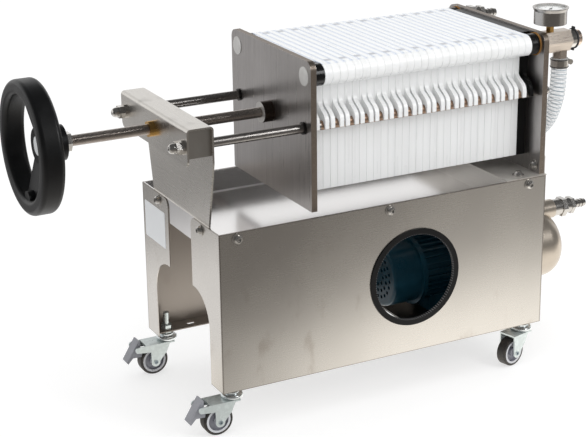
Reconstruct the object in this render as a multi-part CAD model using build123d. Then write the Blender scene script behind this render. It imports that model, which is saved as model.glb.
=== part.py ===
from build123d import *
import math
import os

# How far a cut or a joined piece runs past its face
OVERLAP = 1.0

# Cart: two folded side panels with a drip tray hung between them
CART_LENGTH = 600.0
CART_WIDTH = 300.0
CART_BOTTOM = 74.0
CART_TOP = 337.5
SHEET = 1.5
FOOT_FLANGE = 34.0
ARCH_TOP_GAP = 90.0
ARCH_FOOT_GAP = 212.0
ARCH_RADIUS = 55.0
ARCH_RISE = 92.0
FLANGE_CORNER = 15.0
FLANGE_SLOT = 14.0
FLANGE_SLOT_WIDTH = 6.0
FLANGE_SLOT_FROM_END = 70.0
FLANGE_SLOT_FROM_SIDE = 18.0
TRAY_DEPTH = 40.0

# Round window in the front panel and its rubber edging
WINDOW_FROM_END = 253.0
WINDOW_Z = 204.5
WINDOW_RADIUS = 76.0
TRIM_LIP = 7.0
TRIM_WALL = 2.5
TRIM_PROUD = 2.0
TRIM_GAP = 0.3

# Press frame: folded beam with its upright, two tie rods and the brass nut
PRESS_AXIS_Z = 473.0
BEAM_SHEET = 3.0
BEAM_DEPTH = 44.0
BEAM_PAST_ROD = 16.0
BEAM_TOP = 503.0
BEAM_LIP = 58.5
BEAM_BEND = 6.0
LIP_CORNER = 10.0
UPRIGHT_FOOT_INSET = 22.0
UPRIGHT_FOOT_GAP = 6.0
END_CAP_SHEET = 2.0
END_CAP_INSET = 5.0
END_CAP_HEIGHT = 44.0
ROD_FROM_EDGE = 29.0
ROD_DIAMETER = 15.0
ROD_STUD_DIAMETER = 12.0
ROD_STUD_REACH = 13.0
HOLE_CLEARANCE = 0.2
NUT_FLATS = 19.0
NUT_HEIGHT = 9.0
NUT_WASHER_DIAMETER = 23.0
NUT_WASHER = 4.0
NUT_DOME = 11.0
NUT_DOME_DIAMETER = 16.0
NUT_DOME_ROUND = 7.5

# Fixed head, its bracket and the pack of plates against it
HEAD_SET_IN = 9.0
HEAD_THICKNESS = 10.0
HEAD_SIDE_GAP = 7.0
FIXED_HEAD_TOP = 575.5
HEAD_CORNER = 14.0
BRACKET_DEPTH = 77.0
BRACKET_RISE = 30.0
PLATE_COUNT = 29
PLATE_PITCH = 13.15
PLATE_FROM_ROD = 14.0
PLATE_BOTTOM = 363.5
PLATE_TOP = 573.0
PLATE_GROOVE = 0.8
PLATE_GROOVE_DEPTH = 0.6
END_PLATE = 17.5
PORT_FROM_EDGE = 26.0
PORT_EYE_DIAMETER = 35.0
PORT_BORE = 20.0
EAR_THICKNESS = 7.0
EAR_STAGGER = 1.4
EAR_WALL = 4.0
EAR_SLOPE_RISE = 40.0
EAR_TIP_RISE = 6.0
EAR_TIP_DROP = 3.5
EAR_ROD_GAP = 0.3
SEAL_RING = 1.5
SEAL_RING_DIAMETER = 38.0

# Moving head, thrust collar, spindle and handwheel
MOVING_HEAD_INSET = 4.0
MOVING_HEAD_BOTTOM = 343.0
MOVING_HEAD_TOP = 581.0
RUNNING_GAP = 0.06
BUSH_DIAMETER = 20.0
BUSH_FLANGE = 2.5
BUSH_SLEEVE = 17.5
PLUG_DIAMETER = 30.0
PLUG_PROUD = 1.0
COLLAR_DIAMETER = 34.0
COLLAR_LENGTH = 18.0
COLLAR_WALL = 4.0
SPINDLE_DIAMETER = 17.0
SPINDLE_TIP_GAP = 0.4
NUT_BUSH_DIAMETER = 22.0
NUT_BUSH_FLANGE_DIAMETER = 24.5
NUT_BUSH_FLANGE = 9.0
HUB_REACH = 390.25
HUB_LENGTH = 41.0
HUB_DIAMETER = 55.0
HUB_WAIST_DIAMETER = 42.0
HUB_FLANGE = 9.0
HUB_CAP_DIAMETER = 29.0
HUB_CAP = 3.0
JAM_NUT_FLATS = 27.0
JAM_NUT = 11.0
RIM_DIAMETER = 206.0
RIM_WIDTH = 36.0
RIM_DEPTH = 23.0
RIM_ROUND = 8.0
RIM_FORWARD = 8.0
SPOKE_HUB_WIDTH = 52.0
SPOKE_RIM_WIDTH = 52.0
SPOKE_THICKNESS = 15.0
GRIP_BOSS_DIAMETER = 24.0

# Inlet manifold with its gauge, end plug and the two hose tails
MANIFOLD_FLATS = 34.0
MANIFOLD_LENGTH = 54.0
NIPPLE_FLATS = 22.0
PLUG_RING_DIAMETER = 31.0
PLUG_RING = 14.0
PLUG_DISC_DIAMETER = 27.0
PLUG_DISC = 8.0
GAUGE_X_ON_MANIFOLD = 19.0
GAUGE_DIAMETER = 54.0
GAUGE_BEZEL_DIAMETER = 59.0
GAUGE_HEIGHT = 27.5
GAUGE_BEZEL = 6.0
GAUGE_RIM = 1.0
GAUGE_WALL = 1.0
GAUGE_STEM_FLATS = 12.0
GAUGE_STEM = 13.5
GAUGE_GLASS = 2.0
GAUGE_GLASS_SUNK = 0.5
GAUGE_DIAL_DEPTH = 5.0
GAUGE_DIAL = 1.0
VENT_DIAMETER = 7.0
VENT_REACH = 3.0
TAIL_PIPE_DIAMETER = 30.0
TAIL_HEX_FLATS = 32.0
TAIL_HEX = 9.0
TAIL_NECK_DIAMETER = 22.0
TAIL_NECK = 4.0
TAIL_SHOULDER_DIAMETER = 27.0
TAIL_SHOULDER = 7.0
TAIL_SMALL_HEX_FLATS = 28.0
TAIL_SMALL_HEX = 7.0
TAIL_BARB_DIAMETER = 16.0
TAIL_BARB_ROOT = 13.5
TAIL_BARB_PITCH = 7.0
TAIL_BARBS = 4
TAIL_BORE = 9.0
OUTLET_PIPE = 15.0

# Pump and motor lying along the cart, with the clear hose up to the manifold
PUMP_AXIS_Z = 152.5
PUMP_DIAMETER = 120.0
PUMP_REACH = 125.0
PUMP_FLANGE_DIAMETER = 132.0
PUMP_FLANGE = 9.0
PUMP_DOME_ROUND = 34.0
SUCTION_RISE = 60.0
SUCTION_BOSS_DIAMETER = 34.0
SUCTION_PIPE = 18.0
MOTOR_DIAMETER = 110.0
MOTOR_CORE_DIAMETER = 98.0
MOTOR_TAIL_FROM_END = 234.0
MOTOR_COWL = 56.0
MOTOR_RING = 8.0
MOTOR_RING_DIAMETER = 122.0
MOTOR_FINNED = 134.0
MOTOR_FINS = 28
MOTOR_FIN = 2.4
MOTOR_NOSE_DIAMETER = 84.0
COWL_HOLE = 6.5
COWL_HOLE_DEPTH = 5.0
COWL_RINGS = [(16.0, 8), (27.0, 14), (38.0, 20)]
FOOT_WIDTH = 104.0
FOOT_LENGTH = 80.0
FOOT_PAD = 8.0
FOOT_STEM_WIDTH = 60.0
SHELF_LENGTH = 164.0
SHELF_FROM_END = 45.0
SHELF_SHEET = 3.0
HOSE_DIAMETER = 27.0
HOSE_CLAMP = 15.0
HOSE_CLAMP_WALL = 1.2
HOSE_CLAMP_GAP = 0.2
HOSE_CLAMP_FROM_END = 8.5
CLAMP_SCREW_DIAMETER = 9.0
CLAMP_SCREW_LENGTH = 13.0
HOSE_STUB_DIAMETER = 30.0
HOSE_STUB_DEPTH = 48.0
HOSE_BEND_SHARE = 0.45
HOSE_TOP_FROM_HEAD = 41.0
HOSE_TOP_Z = 526.0
HOSE_FOOT_FROM_END = 64.0
HOSE_FOOT_Y = -4.0
HOSE_FOOT_Z = 245.0
HOSE_SHARES = [
    (0.0, 0.0, 0.0),
    (0.0, 0.0, 0.175),
    (0.0, 0.08, 0.3),
    (0.0, 0.255, 0.425),
    (0.0, 0.61, 0.53),
    (0.18, 0.895, 0.63),
    (0.64, 1.02, 0.78),
    (1.0, 1.0, 1.0),
]

# Swivel casters; the two at the handwheel end have brake pedals
CASTER_FROM_END = 24.0
CASTER_FROM_SIDE = 20.0
CASTER_TURN = 15.0
CASTER_TRAIL = 28.0
WHEEL_DIAMETER = 50.0
WHEEL_WIDTH = 18.0
TYRE_DEPTH = 4.5
TYRE_ROUND = 2.2
TYRE_GAP = 0.15
WHEEL_RIM = 3.5
HUB_BOSS_DIAMETER = 15.0
HUB_SIDE_GAP = 0.5
WHEEL_WEB = 6.0
AXLE_DIAMETER = 8.0
RIVET_DIAMETER = 8.0
RIVET_HEAD = 1.2
RIVET_RECESS = 4.0
FORK_GAP = 28.0
FORK_SHEET = 2.5
FORK_TOP = 57.5
FORK_FRONT = 8.0
FORK_BROW = 17.5
FORK_BROW_BACK = 8.0
CUP_DIAMETER = 36.0
CUP_HEIGHT = 11.0
CUP_DOME = 7.5
CUP_ROUND = 3.5
CUP_NECK_DIAMETER = 24.0
STUD_DIAMETER = 10.0
STUD_ABOVE = 30.0
STUD_NUT_FLATS = 17.0
STUD_NUT = 8.0
STUD_GAP = 0.4
PEDAL_PIN_OUT = 59.0
PEDAL_PIN_Z = 52.0
PEDAL_PIN_DIAMETER = 5.0
PEDAL_WIDTH = 20.0
PEDAL_OUTLINE = [
    (6.0, 13.5),
    (3.0, 15.5),
    (-19.5, -21.0),
    (-17.0, -24.0),
    (-8.0, -14.5),
    (7.5, -15.0),
    (8.5, -8.0),
    (6.0, 0.0),
]

# Places worked out from the sizes above
cart_end = CART_LENGTH / 2
cart_side = CART_WIDTH / 2
tray_end = cart_end - SHEET
tray_side = cart_side - SHEET
beam_rear = -(tray_end - SHEET)
beam_back = beam_rear + BEAM_SHEET
beam_front = beam_back - BEAM_DEPTH
fixed_face = cart_end - HEAD_SET_IN
fixed_back = fixed_face + HEAD_THICKNESS
plates_start = fixed_face - END_PLATE
plates_end = plates_start - PLATE_COUNT * PLATE_PITCH
moving_face = plates_end - END_PLATE
moving_back = moving_face - HEAD_THICKNESS
fixed_half = cart_side - HEAD_SIDE_GAP
moving_half = fixed_half - MOVING_HEAD_INSET
rod_y = fixed_half - ROD_FROM_EDGE
port_y = fixed_half - PORT_FROM_EDGE
plate_half = rod_y - PLATE_FROM_ROD
beam_half = rod_y + BEAM_PAST_ROD
port_z = PLATE_TOP - PORT_EYE_DIAMETER / 2
shelf_level = CART_TOP + SHEET
hub_face = moving_back - HUB_REACH
rim_centre = hub_face - RIM_FORWARD
manifold_end = fixed_back + MANIFOLD_LENGTH
pump_face = cart_end + PUMP_REACH
tail_fitting = TAIL_HEX + TAIL_NECK + TAIL_SHOULDER + TAIL_SMALL_HEX
tail_reach = tail_fitting + TAIL_BARBS * TAIL_BARB_PITCH
suction_tip = pump_face + SUCTION_PIPE + tail_reach
window_x = cart_end - WINDOW_FROM_END
motor_tail = cart_end - MOTOR_TAIL_FROM_END
shelf_end = cart_end - SHELF_FROM_END
caster_x = cart_end - CASTER_FROM_END
caster_y = cart_side - CASTER_FROM_SIDE
wheel_radius = WHEEL_DIAMETER / 2
cup_top = FORK_TOP + CUP_HEIGHT
fork_side = FORK_GAP / 2 + FORK_SHEET
hose_top = (fixed_back + HOSE_TOP_FROM_HEAD, -port_y, HOSE_TOP_Z)
hose_foot = (cart_end + HOSE_FOOT_FROM_END, HOSE_FOOT_Y, HOSE_FOOT_Z)
hose_route = [tuple(a + share * (b - a) for a, b, share in zip(hose_top, hose_foot, shares))
              for shares in HOSE_SHARES]

# The origin is on the floor, midway between the handwheel rim and the suction tail tip
row_shift = -(rim_centre - RIM_WIDTH / 2 + suction_tip) / 2


def slab(x0, x1, y0, y1, z0, z1):
    """A box between two corners."""
    middle = Pos((x0 + x1) / 2, (y0 + y1) / 2, (z0 + z1) / 2)
    return middle * Box(abs(x1 - x0), abs(y1 - y0), abs(z1 - z0))


def rod_x(diameter, x0, x1, y, z):
    """A round bar along X."""
    return Pos((x0 + x1) / 2, y, z) * Rot(0, 90, 0) * Cylinder(diameter / 2, abs(x1 - x0))


def rod_y_axis(diameter, x, y0, y1, z):
    """A round bar along Y."""
    return Pos(x, (y0 + y1) / 2, z) * Rot(90, 0, 0) * Cylinder(diameter / 2, abs(y1 - y0))


def rod_z(diameter, x, y, z0, z1):
    """A round bar along Z."""
    return Pos(x, y, (z0 + z1) / 2) * Cylinder(diameter / 2, abs(z1 - z0))


def hexagon(flats):
    """A hexagon given across its flats."""
    return RegularPolygon(flats / math.sqrt(3), 6)


def hex_x(flats, x0, x1, y, z):
    """A hexagon bar along X with flats at its top and bottom."""
    return Pos(x0, y, z) * extrude(Plane.YZ * hexagon(flats), x1 - x0)


def hex_z(flats, x, y, z0, z1):
    """A hexagon bar along Z."""
    return Pos(x, y, z0) * extrude(hexagon(flats), z1 - z0)


def plate_x(outline, x0, x1):
    """A sketch in Y and Z thickened from x0 to x1."""
    return Pos(x0, 0, 0) * extrude(Plane.YZ * outline, x1 - x0)


def rectangle(a0, a1, b0, b1):
    """A flat rectangle between two corners."""
    return Pos((a0 + a1) / 2, (b0 + b1) / 2) * Rectangle(abs(a1 - a0), abs(b1 - b0))


def spun_x(points, y, z):
    """A solid of revolution about an X axis, from points of (x, radius)."""
    profile = Plane.XZ * make_face(Polyline(points, close=True))
    return Pos(0, y, z) * revolve(profile, Axis.X)


def both(build):
    """The same piece on both sides of the press, from a function of the side."""
    return [build(-1), build(1)]


def side_panel(side, window):
    """A folded side: face, foot flange and two end flanges that form the end arches."""
    face = slab(-cart_end, cart_end, side * cart_side, side * tray_side, CART_BOTTOM, CART_TOP)
    foot_edge = side * (cart_side - FOOT_FLANGE)
    foot = slab(-cart_end, cart_end, side * cart_side, foot_edge, CART_BOTTOM, CART_BOTTOM + SHEET)
    arch_foot = ARCH_FOOT_GAP / 2
    spring = CART_BOTTOM + ARCH_RISE
    outline = rectangle(ARCH_TOP_GAP / 2, cart_side, CART_BOTTOM, CART_TOP)
    outline -= rectangle(0, arch_foot, CART_BOTTOM, spring)
    outline -= Pos(arch_foot - ARCH_RADIUS, spring) * Circle(ARCH_RADIUS)
    inner_top = outline.vertices().sort_by(Axis.Y)[-2:].sort_by(Axis.X)[0]
    outline = fillet(inner_top, FLANGE_CORNER)
    if side < 0:
        outline = mirror(outline, Plane.YZ)
    panel = face + foot
    for end in (-1, 1):
        panel += plate_x(outline, min(end * cart_end, end * tray_end), max(end * cart_end, end * tray_end))
    for x in (-caster_x, caster_x):
        panel -= rod_z(STUD_DIAMETER + 2 * HOLE_CLEARANCE, x, side * caster_y, 0, CART_TOP)
    slot_y = side * (cart_side - FLANGE_SLOT_FROM_SIDE)
    for x in (FLANGE_SLOT_FROM_END - cart_end, cart_end - FLANGE_SLOT_FROM_END):
        panel -= Pos(x, slot_y, 0) * extrude(SlotOverall(FLANGE_SLOT, FLANGE_SLOT_WIDTH), CART_BOTTOM + 2 * SHEET)
    if window:
        panel -= rod_y_axis(2 * WINDOW_RADIUS, window_x, -cart_side * 2, 0, WINDOW_Z)
    return panel


def window_trim():
    """Rubber edging of U section round the window."""
    front = -cart_side - TRIM_PROUD
    back = -tray_side + TRIM_PROUD
    throat = WINDOW_RADIUS - TRIM_GAP
    inner = throat - TRIM_WALL
    trim = rod_y_axis(2 * (WINDOW_RADIUS + TRIM_LIP), window_x, front, back, WINDOW_Z)
    groove = rod_y_axis(4 * WINDOW_RADIUS, window_x, -cart_side, -tray_side, WINDOW_Z)
    groove -= rod_y_axis(2 * throat, window_x, -cart_side, -tray_side, WINDOW_Z)
    return trim - groove - rod_y_axis(2 * inner, window_x, front, back, WINDOW_Z)


def drip_tray():
    """Open pan that catches the drips, hung between the side panels."""
    floor = CART_TOP - TRAY_DEPTH
    outer = slab(-tray_end, tray_end, -tray_side, tray_side, floor, CART_TOP)
    hollow_end = tray_end - SHEET
    hollow_side = tray_side - SHEET
    return outer - slab(-hollow_end, hollow_end, -hollow_side, hollow_side, floor + SHEET, CART_TOP + SHEET)


def head_bracket():
    """Folded shelf across the tray that carries the fixed head, with a rear upstand."""
    back = fixed_back + SHEET
    start = cart_end - BRACKET_DEPTH
    shelf = slab(start, back, -tray_side, tray_side, CART_TOP, shelf_level)
    drop_side = tray_side - SHEET
    drop = slab(start, start + SHEET, -drop_side, drop_side, CART_TOP - TRAY_DEPTH + SHEET, CART_TOP)
    rise = slab(fixed_back, back, -fixed_half, fixed_half, CART_TOP, shelf_level + BRACKET_RISE)
    return shelf + drop + rise


def press_upright():
    """Beam of inverted U section whose rear wall runs down into the tray as the upright."""
    lip_bottom = BEAM_TOP - BEAM_LIP
    half = beam_half
    foot_half = beam_half - UPRIGHT_FOOT_INSET
    foot = CART_TOP - TRAY_DEPTH + SHEET + UPRIGHT_FOOT_GAP
    section = rectangle(beam_front, beam_back, lip_bottom, BEAM_TOP)
    section = fillet(section.vertices().group_by(Axis.Y)[-1], BEAM_BEND)
    hollow = rectangle(beam_front + BEAM_SHEET, beam_rear, lip_bottom - BEAM_BEND, BEAM_TOP - BEAM_SHEET)
    hollow = fillet(hollow.vertices().group_by(Axis.Y)[-1], BEAM_BEND - BEAM_SHEET)
    beam = Pos(0, half, 0) * extrude(Plane.XZ * (section - hollow), 2 * half)
    beam = fillet(beam.edges().filter_by(Axis.X).group_by(Axis.Z)[0].group_by(Axis.X)[0], LIP_CORNER)
    web = make_face(Polyline(
        (-foot_half, foot),
        (foot_half, foot),
        (foot_half, CART_TOP),
        (half, lip_bottom),
        (-half, lip_bottom),
        (-foot_half, CART_TOP),
        close=True,
    ))
    upright = beam + plate_x(web, beam_rear, beam_back)
    upright -= rod_x(NUT_BUSH_DIAMETER + 2 * HOLE_CLEARANCE, beam_front, beam_back, 0, PRESS_AXIS_Z)
    for y in (-rod_y, rod_y):
        stud_hole = ROD_STUD_DIAMETER + 2 * HOLE_CLEARANCE
        rod_hole = ROD_DIAMETER + 2 * HOLE_CLEARANCE
        upright -= rod_x(stud_hole, beam_front, beam_front + BEAM_SHEET, y, PRESS_AXIS_Z)
        upright -= rod_x(rod_hole, beam_rear, beam_back, y, PRESS_AXIS_Z)
    return upright


def beam_end_cap(side):
    """Plate let into one end of the beam."""
    outer = side * (beam_half - END_CAP_INSET)
    inner = outer - side * END_CAP_SHEET
    top = BEAM_TOP - BEAM_SHEET
    front = beam_front + BEAM_SHEET
    outline = rectangle(front, beam_rear, top - END_CAP_HEIGHT, top)
    outline = fillet(outline.vertices().group_by(Axis.Y)[-1], BEAM_BEND - BEAM_SHEET)
    return Pos(0, max(outer, inner), 0) * extrude(Plane.XZ * outline, END_CAP_SHEET)


def tie_rod(side):
    """Bright bar from the beam's lip to the fixed head, with a stud at each end."""
    y = side * rod_y
    bar = rod_x(ROD_DIAMETER, beam_front + BEAM_SHEET, fixed_face, y, PRESS_AXIS_Z)
    front_tip = beam_front - ROD_STUD_REACH
    return bar + rod_x(ROD_STUD_DIAMETER, front_tip, fixed_back + ROD_STUD_REACH, y, PRESS_AXIS_Z)


def acorn_nut(face, outward, y):
    """Domed nut and washer on a tie rod's stud, standing out of a face at x."""
    hex_end = NUT_WASHER + NUT_HEIGHT
    dome = rod_x(NUT_DOME_DIAMETER, NUT_WASHER, hex_end + NUT_DOME, 0, 0)
    dome = fillet(dome.edges().filter_by(GeomType.CIRCLE).sort_by(Axis.X)[-1], NUT_DOME_ROUND)
    nut = rod_x(NUT_WASHER_DIAMETER, 0, NUT_WASHER, 0, 0) + hex_x(NUT_FLATS, NUT_WASHER, hex_end, 0, 0) + dome
    nut -= rod_x(ROD_STUD_DIAMETER + 2 * HOLE_CLEARANCE, 0, ROD_STUD_REACH + HOLE_CLEARANCE, 0, 0)
    if outward < 0:
        nut = Rot(0, 0, 180) * nut
    return Pos(face, y, PRESS_AXIS_Z) * nut


def spindle_nut():
    """Flanged brass bush in the beam that the spindle screws through."""
    bore = SPINDLE_DIAMETER + 2 * RUNNING_GAP
    flange_face = beam_front - NUT_BUSH_FLANGE
    bush = rod_x(NUT_BUSH_DIAMETER, beam_front, beam_back, 0, PRESS_AXIS_Z)
    bush += rod_x(NUT_BUSH_FLANGE_DIAMETER, flange_face, beam_front, 0, PRESS_AXIS_Z)
    return bush - rod_x(bore, flange_face, beam_back, 0, PRESS_AXIS_Z)


def head_outline(half, bottom, top):
    """Press head seen along the rods: a plate with rounded top corners."""
    outline = rectangle(-half, half, bottom, top)
    return fillet(outline.vertices().group_by(Axis.Y)[-1], HEAD_CORNER)


def fixed_head():
    """Thick steel plate at the pump end."""
    head = plate_x(head_outline(fixed_half, shelf_level, FIXED_HEAD_TOP), fixed_face, fixed_back)
    for side in (-1, 1):
        stud_hole = ROD_STUD_DIAMETER + 2 * HOLE_CLEARANCE
        head -= rod_x(stud_hole, fixed_face, fixed_back, side * rod_y, PRESS_AXIS_Z)
    return head


def plate_outline(eyes, inset):
    """Plate seen along the rods: the square body with port eyes, or notched for the port seals."""
    half = plate_half - inset
    top = PLATE_TOP - inset
    outline = rectangle(-half, half, PLATE_BOTTOM + inset, top)
    if eyes:
        eye = PORT_EYE_DIAMETER / 2 - inset
        for side in (-1, 1):
            outline += rectangle(0, side * port_y, port_z - eye, top)
            outline += Pos(side * port_y, port_z) * Circle(eye)
    hole = PORT_BORE / 2 if eyes else SEAL_RING_DIAMETER / 2 + HOLE_CLEARANCE
    for side in (-1, 1):
        outline -= Pos(side * port_y, port_z) * Circle(hole)
    return outline


def ear_outline(side):
    """Hooked ear that hangs a plate on a tie rod."""
    root = plate_half - 2 * PLATE_GROOVE_DEPTH
    rod_radius = ROD_DIAMETER / 2 + EAR_ROD_GAP
    tip = rod_y + rod_radius + EAR_WALL
    low = PRESS_AXIS_Z - EAR_TIP_DROP
    top = (side * plate_half, PRESS_AXIS_Z + EAR_SLOPE_RISE)
    corner = (side * tip, PRESS_AXIS_Z + EAR_TIP_RISE)
    slope = Spline(top, corner, tangents=((0, -1), (0, -1)))
    sides = Polyline(corner, (side * tip, low), (side * root, low), (side * root, top[1]), top)
    ear = make_face((slope + sides).edges())
    ear -= Pos(side * rod_y, PRESS_AXIS_Z) * Circle(rod_radius)
    slot = sorted((side * (rod_y - rod_radius), side * (rod_y + rod_radius)))
    return ear - rectangle(slot[0], slot[1], low - OVERLAP, PRESS_AXIS_Z)


def filter_plate(x0, thickness, eyes, ear_shift):
    """One plate of the pack with its two hooked ears and a fine groove round one edge."""
    groove_end = x0 + PLATE_GROOVE
    plate = plate_x(plate_outline(eyes, PLATE_GROOVE_DEPTH), x0, groove_end)
    plate += plate_x(plate_outline(eyes, 0), groove_end, x0 + thickness)
    ear_start = x0 + (thickness - EAR_THICKNESS) / 2 + ear_shift
    for side in (-1, 1):
        plate += plate_x(ear_outline(side), ear_start, ear_start + EAR_THICKNESS)
    return plate


def plate_set(first):
    """Every second plate of the pack, with its ears moved a little to one side."""
    shift = EAR_STAGGER if first == 0 else -EAR_STAGGER
    starts = [plates_start - (i + 1) * PLATE_PITCH for i in range(first, PLATE_COUNT, 2)]
    return [filter_plate(x, PLATE_PITCH, True, shift) for x in starts]


def port_seal(x0, x1, side):
    """Rubber sleeve that carries a port through an end plate."""
    sleeve = rod_x(PORT_EYE_DIAMETER, x0, x1, side * port_y, port_z)
    return sleeve - rod_x(PORT_BORE, x0, x1, side * port_y, port_z)


def seal_ring(x0, x1, side):
    """Flat fibre ring between a sleeve and its head."""
    ring = rod_x(SEAL_RING_DIAMETER, x0, x1, side * port_y, port_z)
    return ring - rod_x(PORT_BORE, x0, x1, side * port_y, port_z)


def moving_head():
    """Thick steel plate that the screw presses against the pack."""
    outline = head_outline(moving_half, MOVING_HEAD_BOTTOM, MOVING_HEAD_TOP)
    head = plate_x(outline, moving_back, moving_face)
    for side in (-1, 1):
        hole = BUSH_SLEEVE + 2 * HOLE_CLEARANCE
        head -= rod_x(hole, moving_back, moving_face, side * rod_y, PRESS_AXIS_Z)
    return head


def rod_bush(side):
    """Flanged bush that slides along a tie rod."""
    y = side * rod_y
    bush = rod_x(BUSH_SLEEVE, moving_back, moving_face, y, PRESS_AXIS_Z)
    bush += rod_x(BUSH_DIAMETER, moving_back - BUSH_FLANGE, moving_back, y, PRESS_AXIS_Z)
    bore = ROD_DIAMETER + 2 * RUNNING_GAP
    return bush - rod_x(bore, moving_back - BUSH_FLANGE, moving_face, y, PRESS_AXIS_Z)


def port_plug(side):
    """Disc that closes a port on the moving head's outer face."""
    disc = rod_x(PLUG_DIAMETER, moving_back - PLUG_PROUD, moving_back, side * port_y, port_z)
    rim = disc.edges().filter_by(GeomType.CIRCLE).sort_by(Axis.X)[0]
    return fillet(rim, PLUG_PROUD / 2)


def thrust_collar():
    """Cup on the moving head that the spindle's tip turns in."""
    mouth = moving_back - COLLAR_LENGTH
    collar = rod_x(COLLAR_DIAMETER, mouth, moving_back, 0, PRESS_AXIS_Z)
    bore = SPINDLE_DIAMETER + 2 * RUNNING_GAP
    return collar - rod_x(bore, mouth, moving_back - COLLAR_WALL, 0, PRESS_AXIS_Z)


def spindle():
    """Pressing screw from the thrust collar to the handwheel hub."""
    tip = moving_back - COLLAR_WALL - SPINDLE_TIP_GAP
    return rod_x(SPINDLE_DIAMETER, hub_face + HUB_CAP, tip, 0, PRESS_AXIS_Z)


def handwheel():
    """Dished two-spoke handwheel with a waisted hub."""
    hub_end = hub_face + HUB_LENGTH
    rim_mid = (RIM_DIAMETER - RIM_DEPTH) / 2
    hub_radius = HUB_DIAMETER / 2
    waist = HUB_WAIST_DIAMETER / 2
    rim = Pos(rim_centre, rim_mid) * RectangleRounded(RIM_WIDTH, RIM_DEPTH, RIM_ROUND)
    wheel = revolve(Plane.XZ * rim, Axis.X)
    wheel += spun_x([
        (hub_face, 0),
        (hub_face, hub_radius),
        (hub_face + HUB_FLANGE, hub_radius),
        (hub_face + 2 * HUB_FLANGE, waist),
        (hub_end - HUB_FLANGE, waist),
        (hub_end - HUB_FLANGE, hub_radius),
        (hub_end, hub_radius),
        (hub_end, 0),
    ], 0, 0)
    for way in (-1, 1):
        hub_side = Plane(origin=(hub_face + HUB_LENGTH / 3, 0, way * waist / 2), z_dir=(0, 0, way))
        rim_side = Plane(origin=(rim_centre, 0, way * rim_mid), z_dir=(0, 0, way))
        hub_pad = hub_side * RectangleRounded(SPOKE_THICKNESS, SPOKE_HUB_WIDTH, SPOKE_THICKNESS / 3)
        rim_pad = rim_side * RectangleRounded(SPOKE_THICKNESS, SPOKE_RIM_WIDTH, SPOKE_THICKNESS / 3)
        wheel += loft([hub_pad, rim_pad])
    boss_z = -rim_mid + RIM_DEPTH / 2
    wheel += rod_x(GRIP_BOSS_DIAMETER, rim_centre - RIM_WIDTH / 3, rim_centre + RIM_WIDTH / 2, 0, boss_z)
    wheel -= rod_x(SPINDLE_DIAMETER + 2 * HOLE_CLEARANCE, hub_face, hub_end, 0, 0)
    wheel -= rod_x(HUB_CAP_DIAMETER + 2 * HOLE_CLEARANCE, hub_face, hub_face + HUB_CAP, 0, 0)
    return Pos(0, 0, PRESS_AXIS_Z) * wheel


def hub_cap():
    """Disc let into the hub's face over the spindle's end."""
    return rod_x(HUB_CAP_DIAMETER, hub_face, hub_face + HUB_CAP, 0, PRESS_AXIS_Z)


def jam_nut():
    """Hexagon nut that locks the hub on the spindle."""
    start = hub_face + HUB_LENGTH
    nut = hex_x(JAM_NUT_FLATS, start, start + JAM_NUT, 0, PRESS_AXIS_Z)
    return nut - rod_x(SPINDLE_DIAMETER + 2 * HOLE_CLEARANCE, start, start + JAM_NUT, 0, PRESS_AXIS_Z)


def inlet_manifold():
    """Hexagon bar on the fixed head that joins the hose, the gauge and the near port."""
    block = hex_x(MANIFOLD_FLATS, fixed_back, manifold_end, -port_y, port_z)
    hose_x, hose_y, hose_z = hose_route[0]
    nipple_top = port_z - MANIFOLD_FLATS / 2 + OVERLAP
    return block + hex_z(NIPPLE_FLATS, hose_x, hose_y, hose_z, nipple_top)


def manifold_plug_ring():
    """Bright ring screwed into the manifold's free end."""
    return rod_x(PLUG_RING_DIAMETER, manifold_end, manifold_end + PLUG_RING, -port_y, port_z)


def manifold_plug_disc():
    """Brass disc that closes the ring."""
    start = manifold_end + PLUG_RING
    return rod_x(PLUG_DISC_DIAMETER, start, start + PLUG_DISC, -port_y, port_z)


def gauge_pieces():
    """Pressure gauge with its dial facing up: case, brass, dial and glass."""
    x = fixed_back + GAUGE_X_ON_MANIFOLD
    y = -port_y
    stem_bottom = port_z + MANIFOLD_FLATS / 2
    bottom = stem_bottom + GAUGE_STEM
    top = bottom + GAUGE_HEIGHT
    glass_diameter = GAUGE_DIAMETER - 2 * GAUGE_WALL
    case = rod_z(GAUGE_DIAMETER, x, y, bottom, top)
    flare = Cone(GAUGE_DIAMETER / 2, GAUGE_BEZEL_DIAMETER / 2, GAUGE_BEZEL - GAUGE_RIM)
    case += Pos(x, y, top - (GAUGE_BEZEL + GAUGE_RIM) / 2) * flare
    case += rod_z(GAUGE_BEZEL_DIAMETER, x, y, top - GAUGE_RIM, top)
    case -= rod_z(glass_diameter, x, y, top - GAUGE_DIAL_DEPTH, top)
    stem = hex_z(GAUGE_STEM_FLATS, x, y, stem_bottom, bottom)
    side = x + GAUGE_DIAMETER / 2
    vent_z = bottom + GAUGE_HEIGHT / 3
    vent = rod_x(VENT_DIAMETER, side - VENT_REACH, side + VENT_REACH, y, vent_z)
    case -= rod_x(VENT_DIAMETER + 2 * HOLE_CLEARANCE, side - VENT_REACH, side + VENT_REACH, y, vent_z)
    seat = glass_diameter - 2 * HOLE_CLEARANCE
    dial = rod_z(seat, x, y, top - GAUGE_DIAL_DEPTH, top - GAUGE_DIAL_DEPTH + GAUGE_DIAL)
    glass_top = top - GAUGE_GLASS_SUNK
    glass = rod_z(seat, x, y, glass_top - GAUGE_GLASS, glass_top)
    return case, [stem, vent], dial, glass


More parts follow.
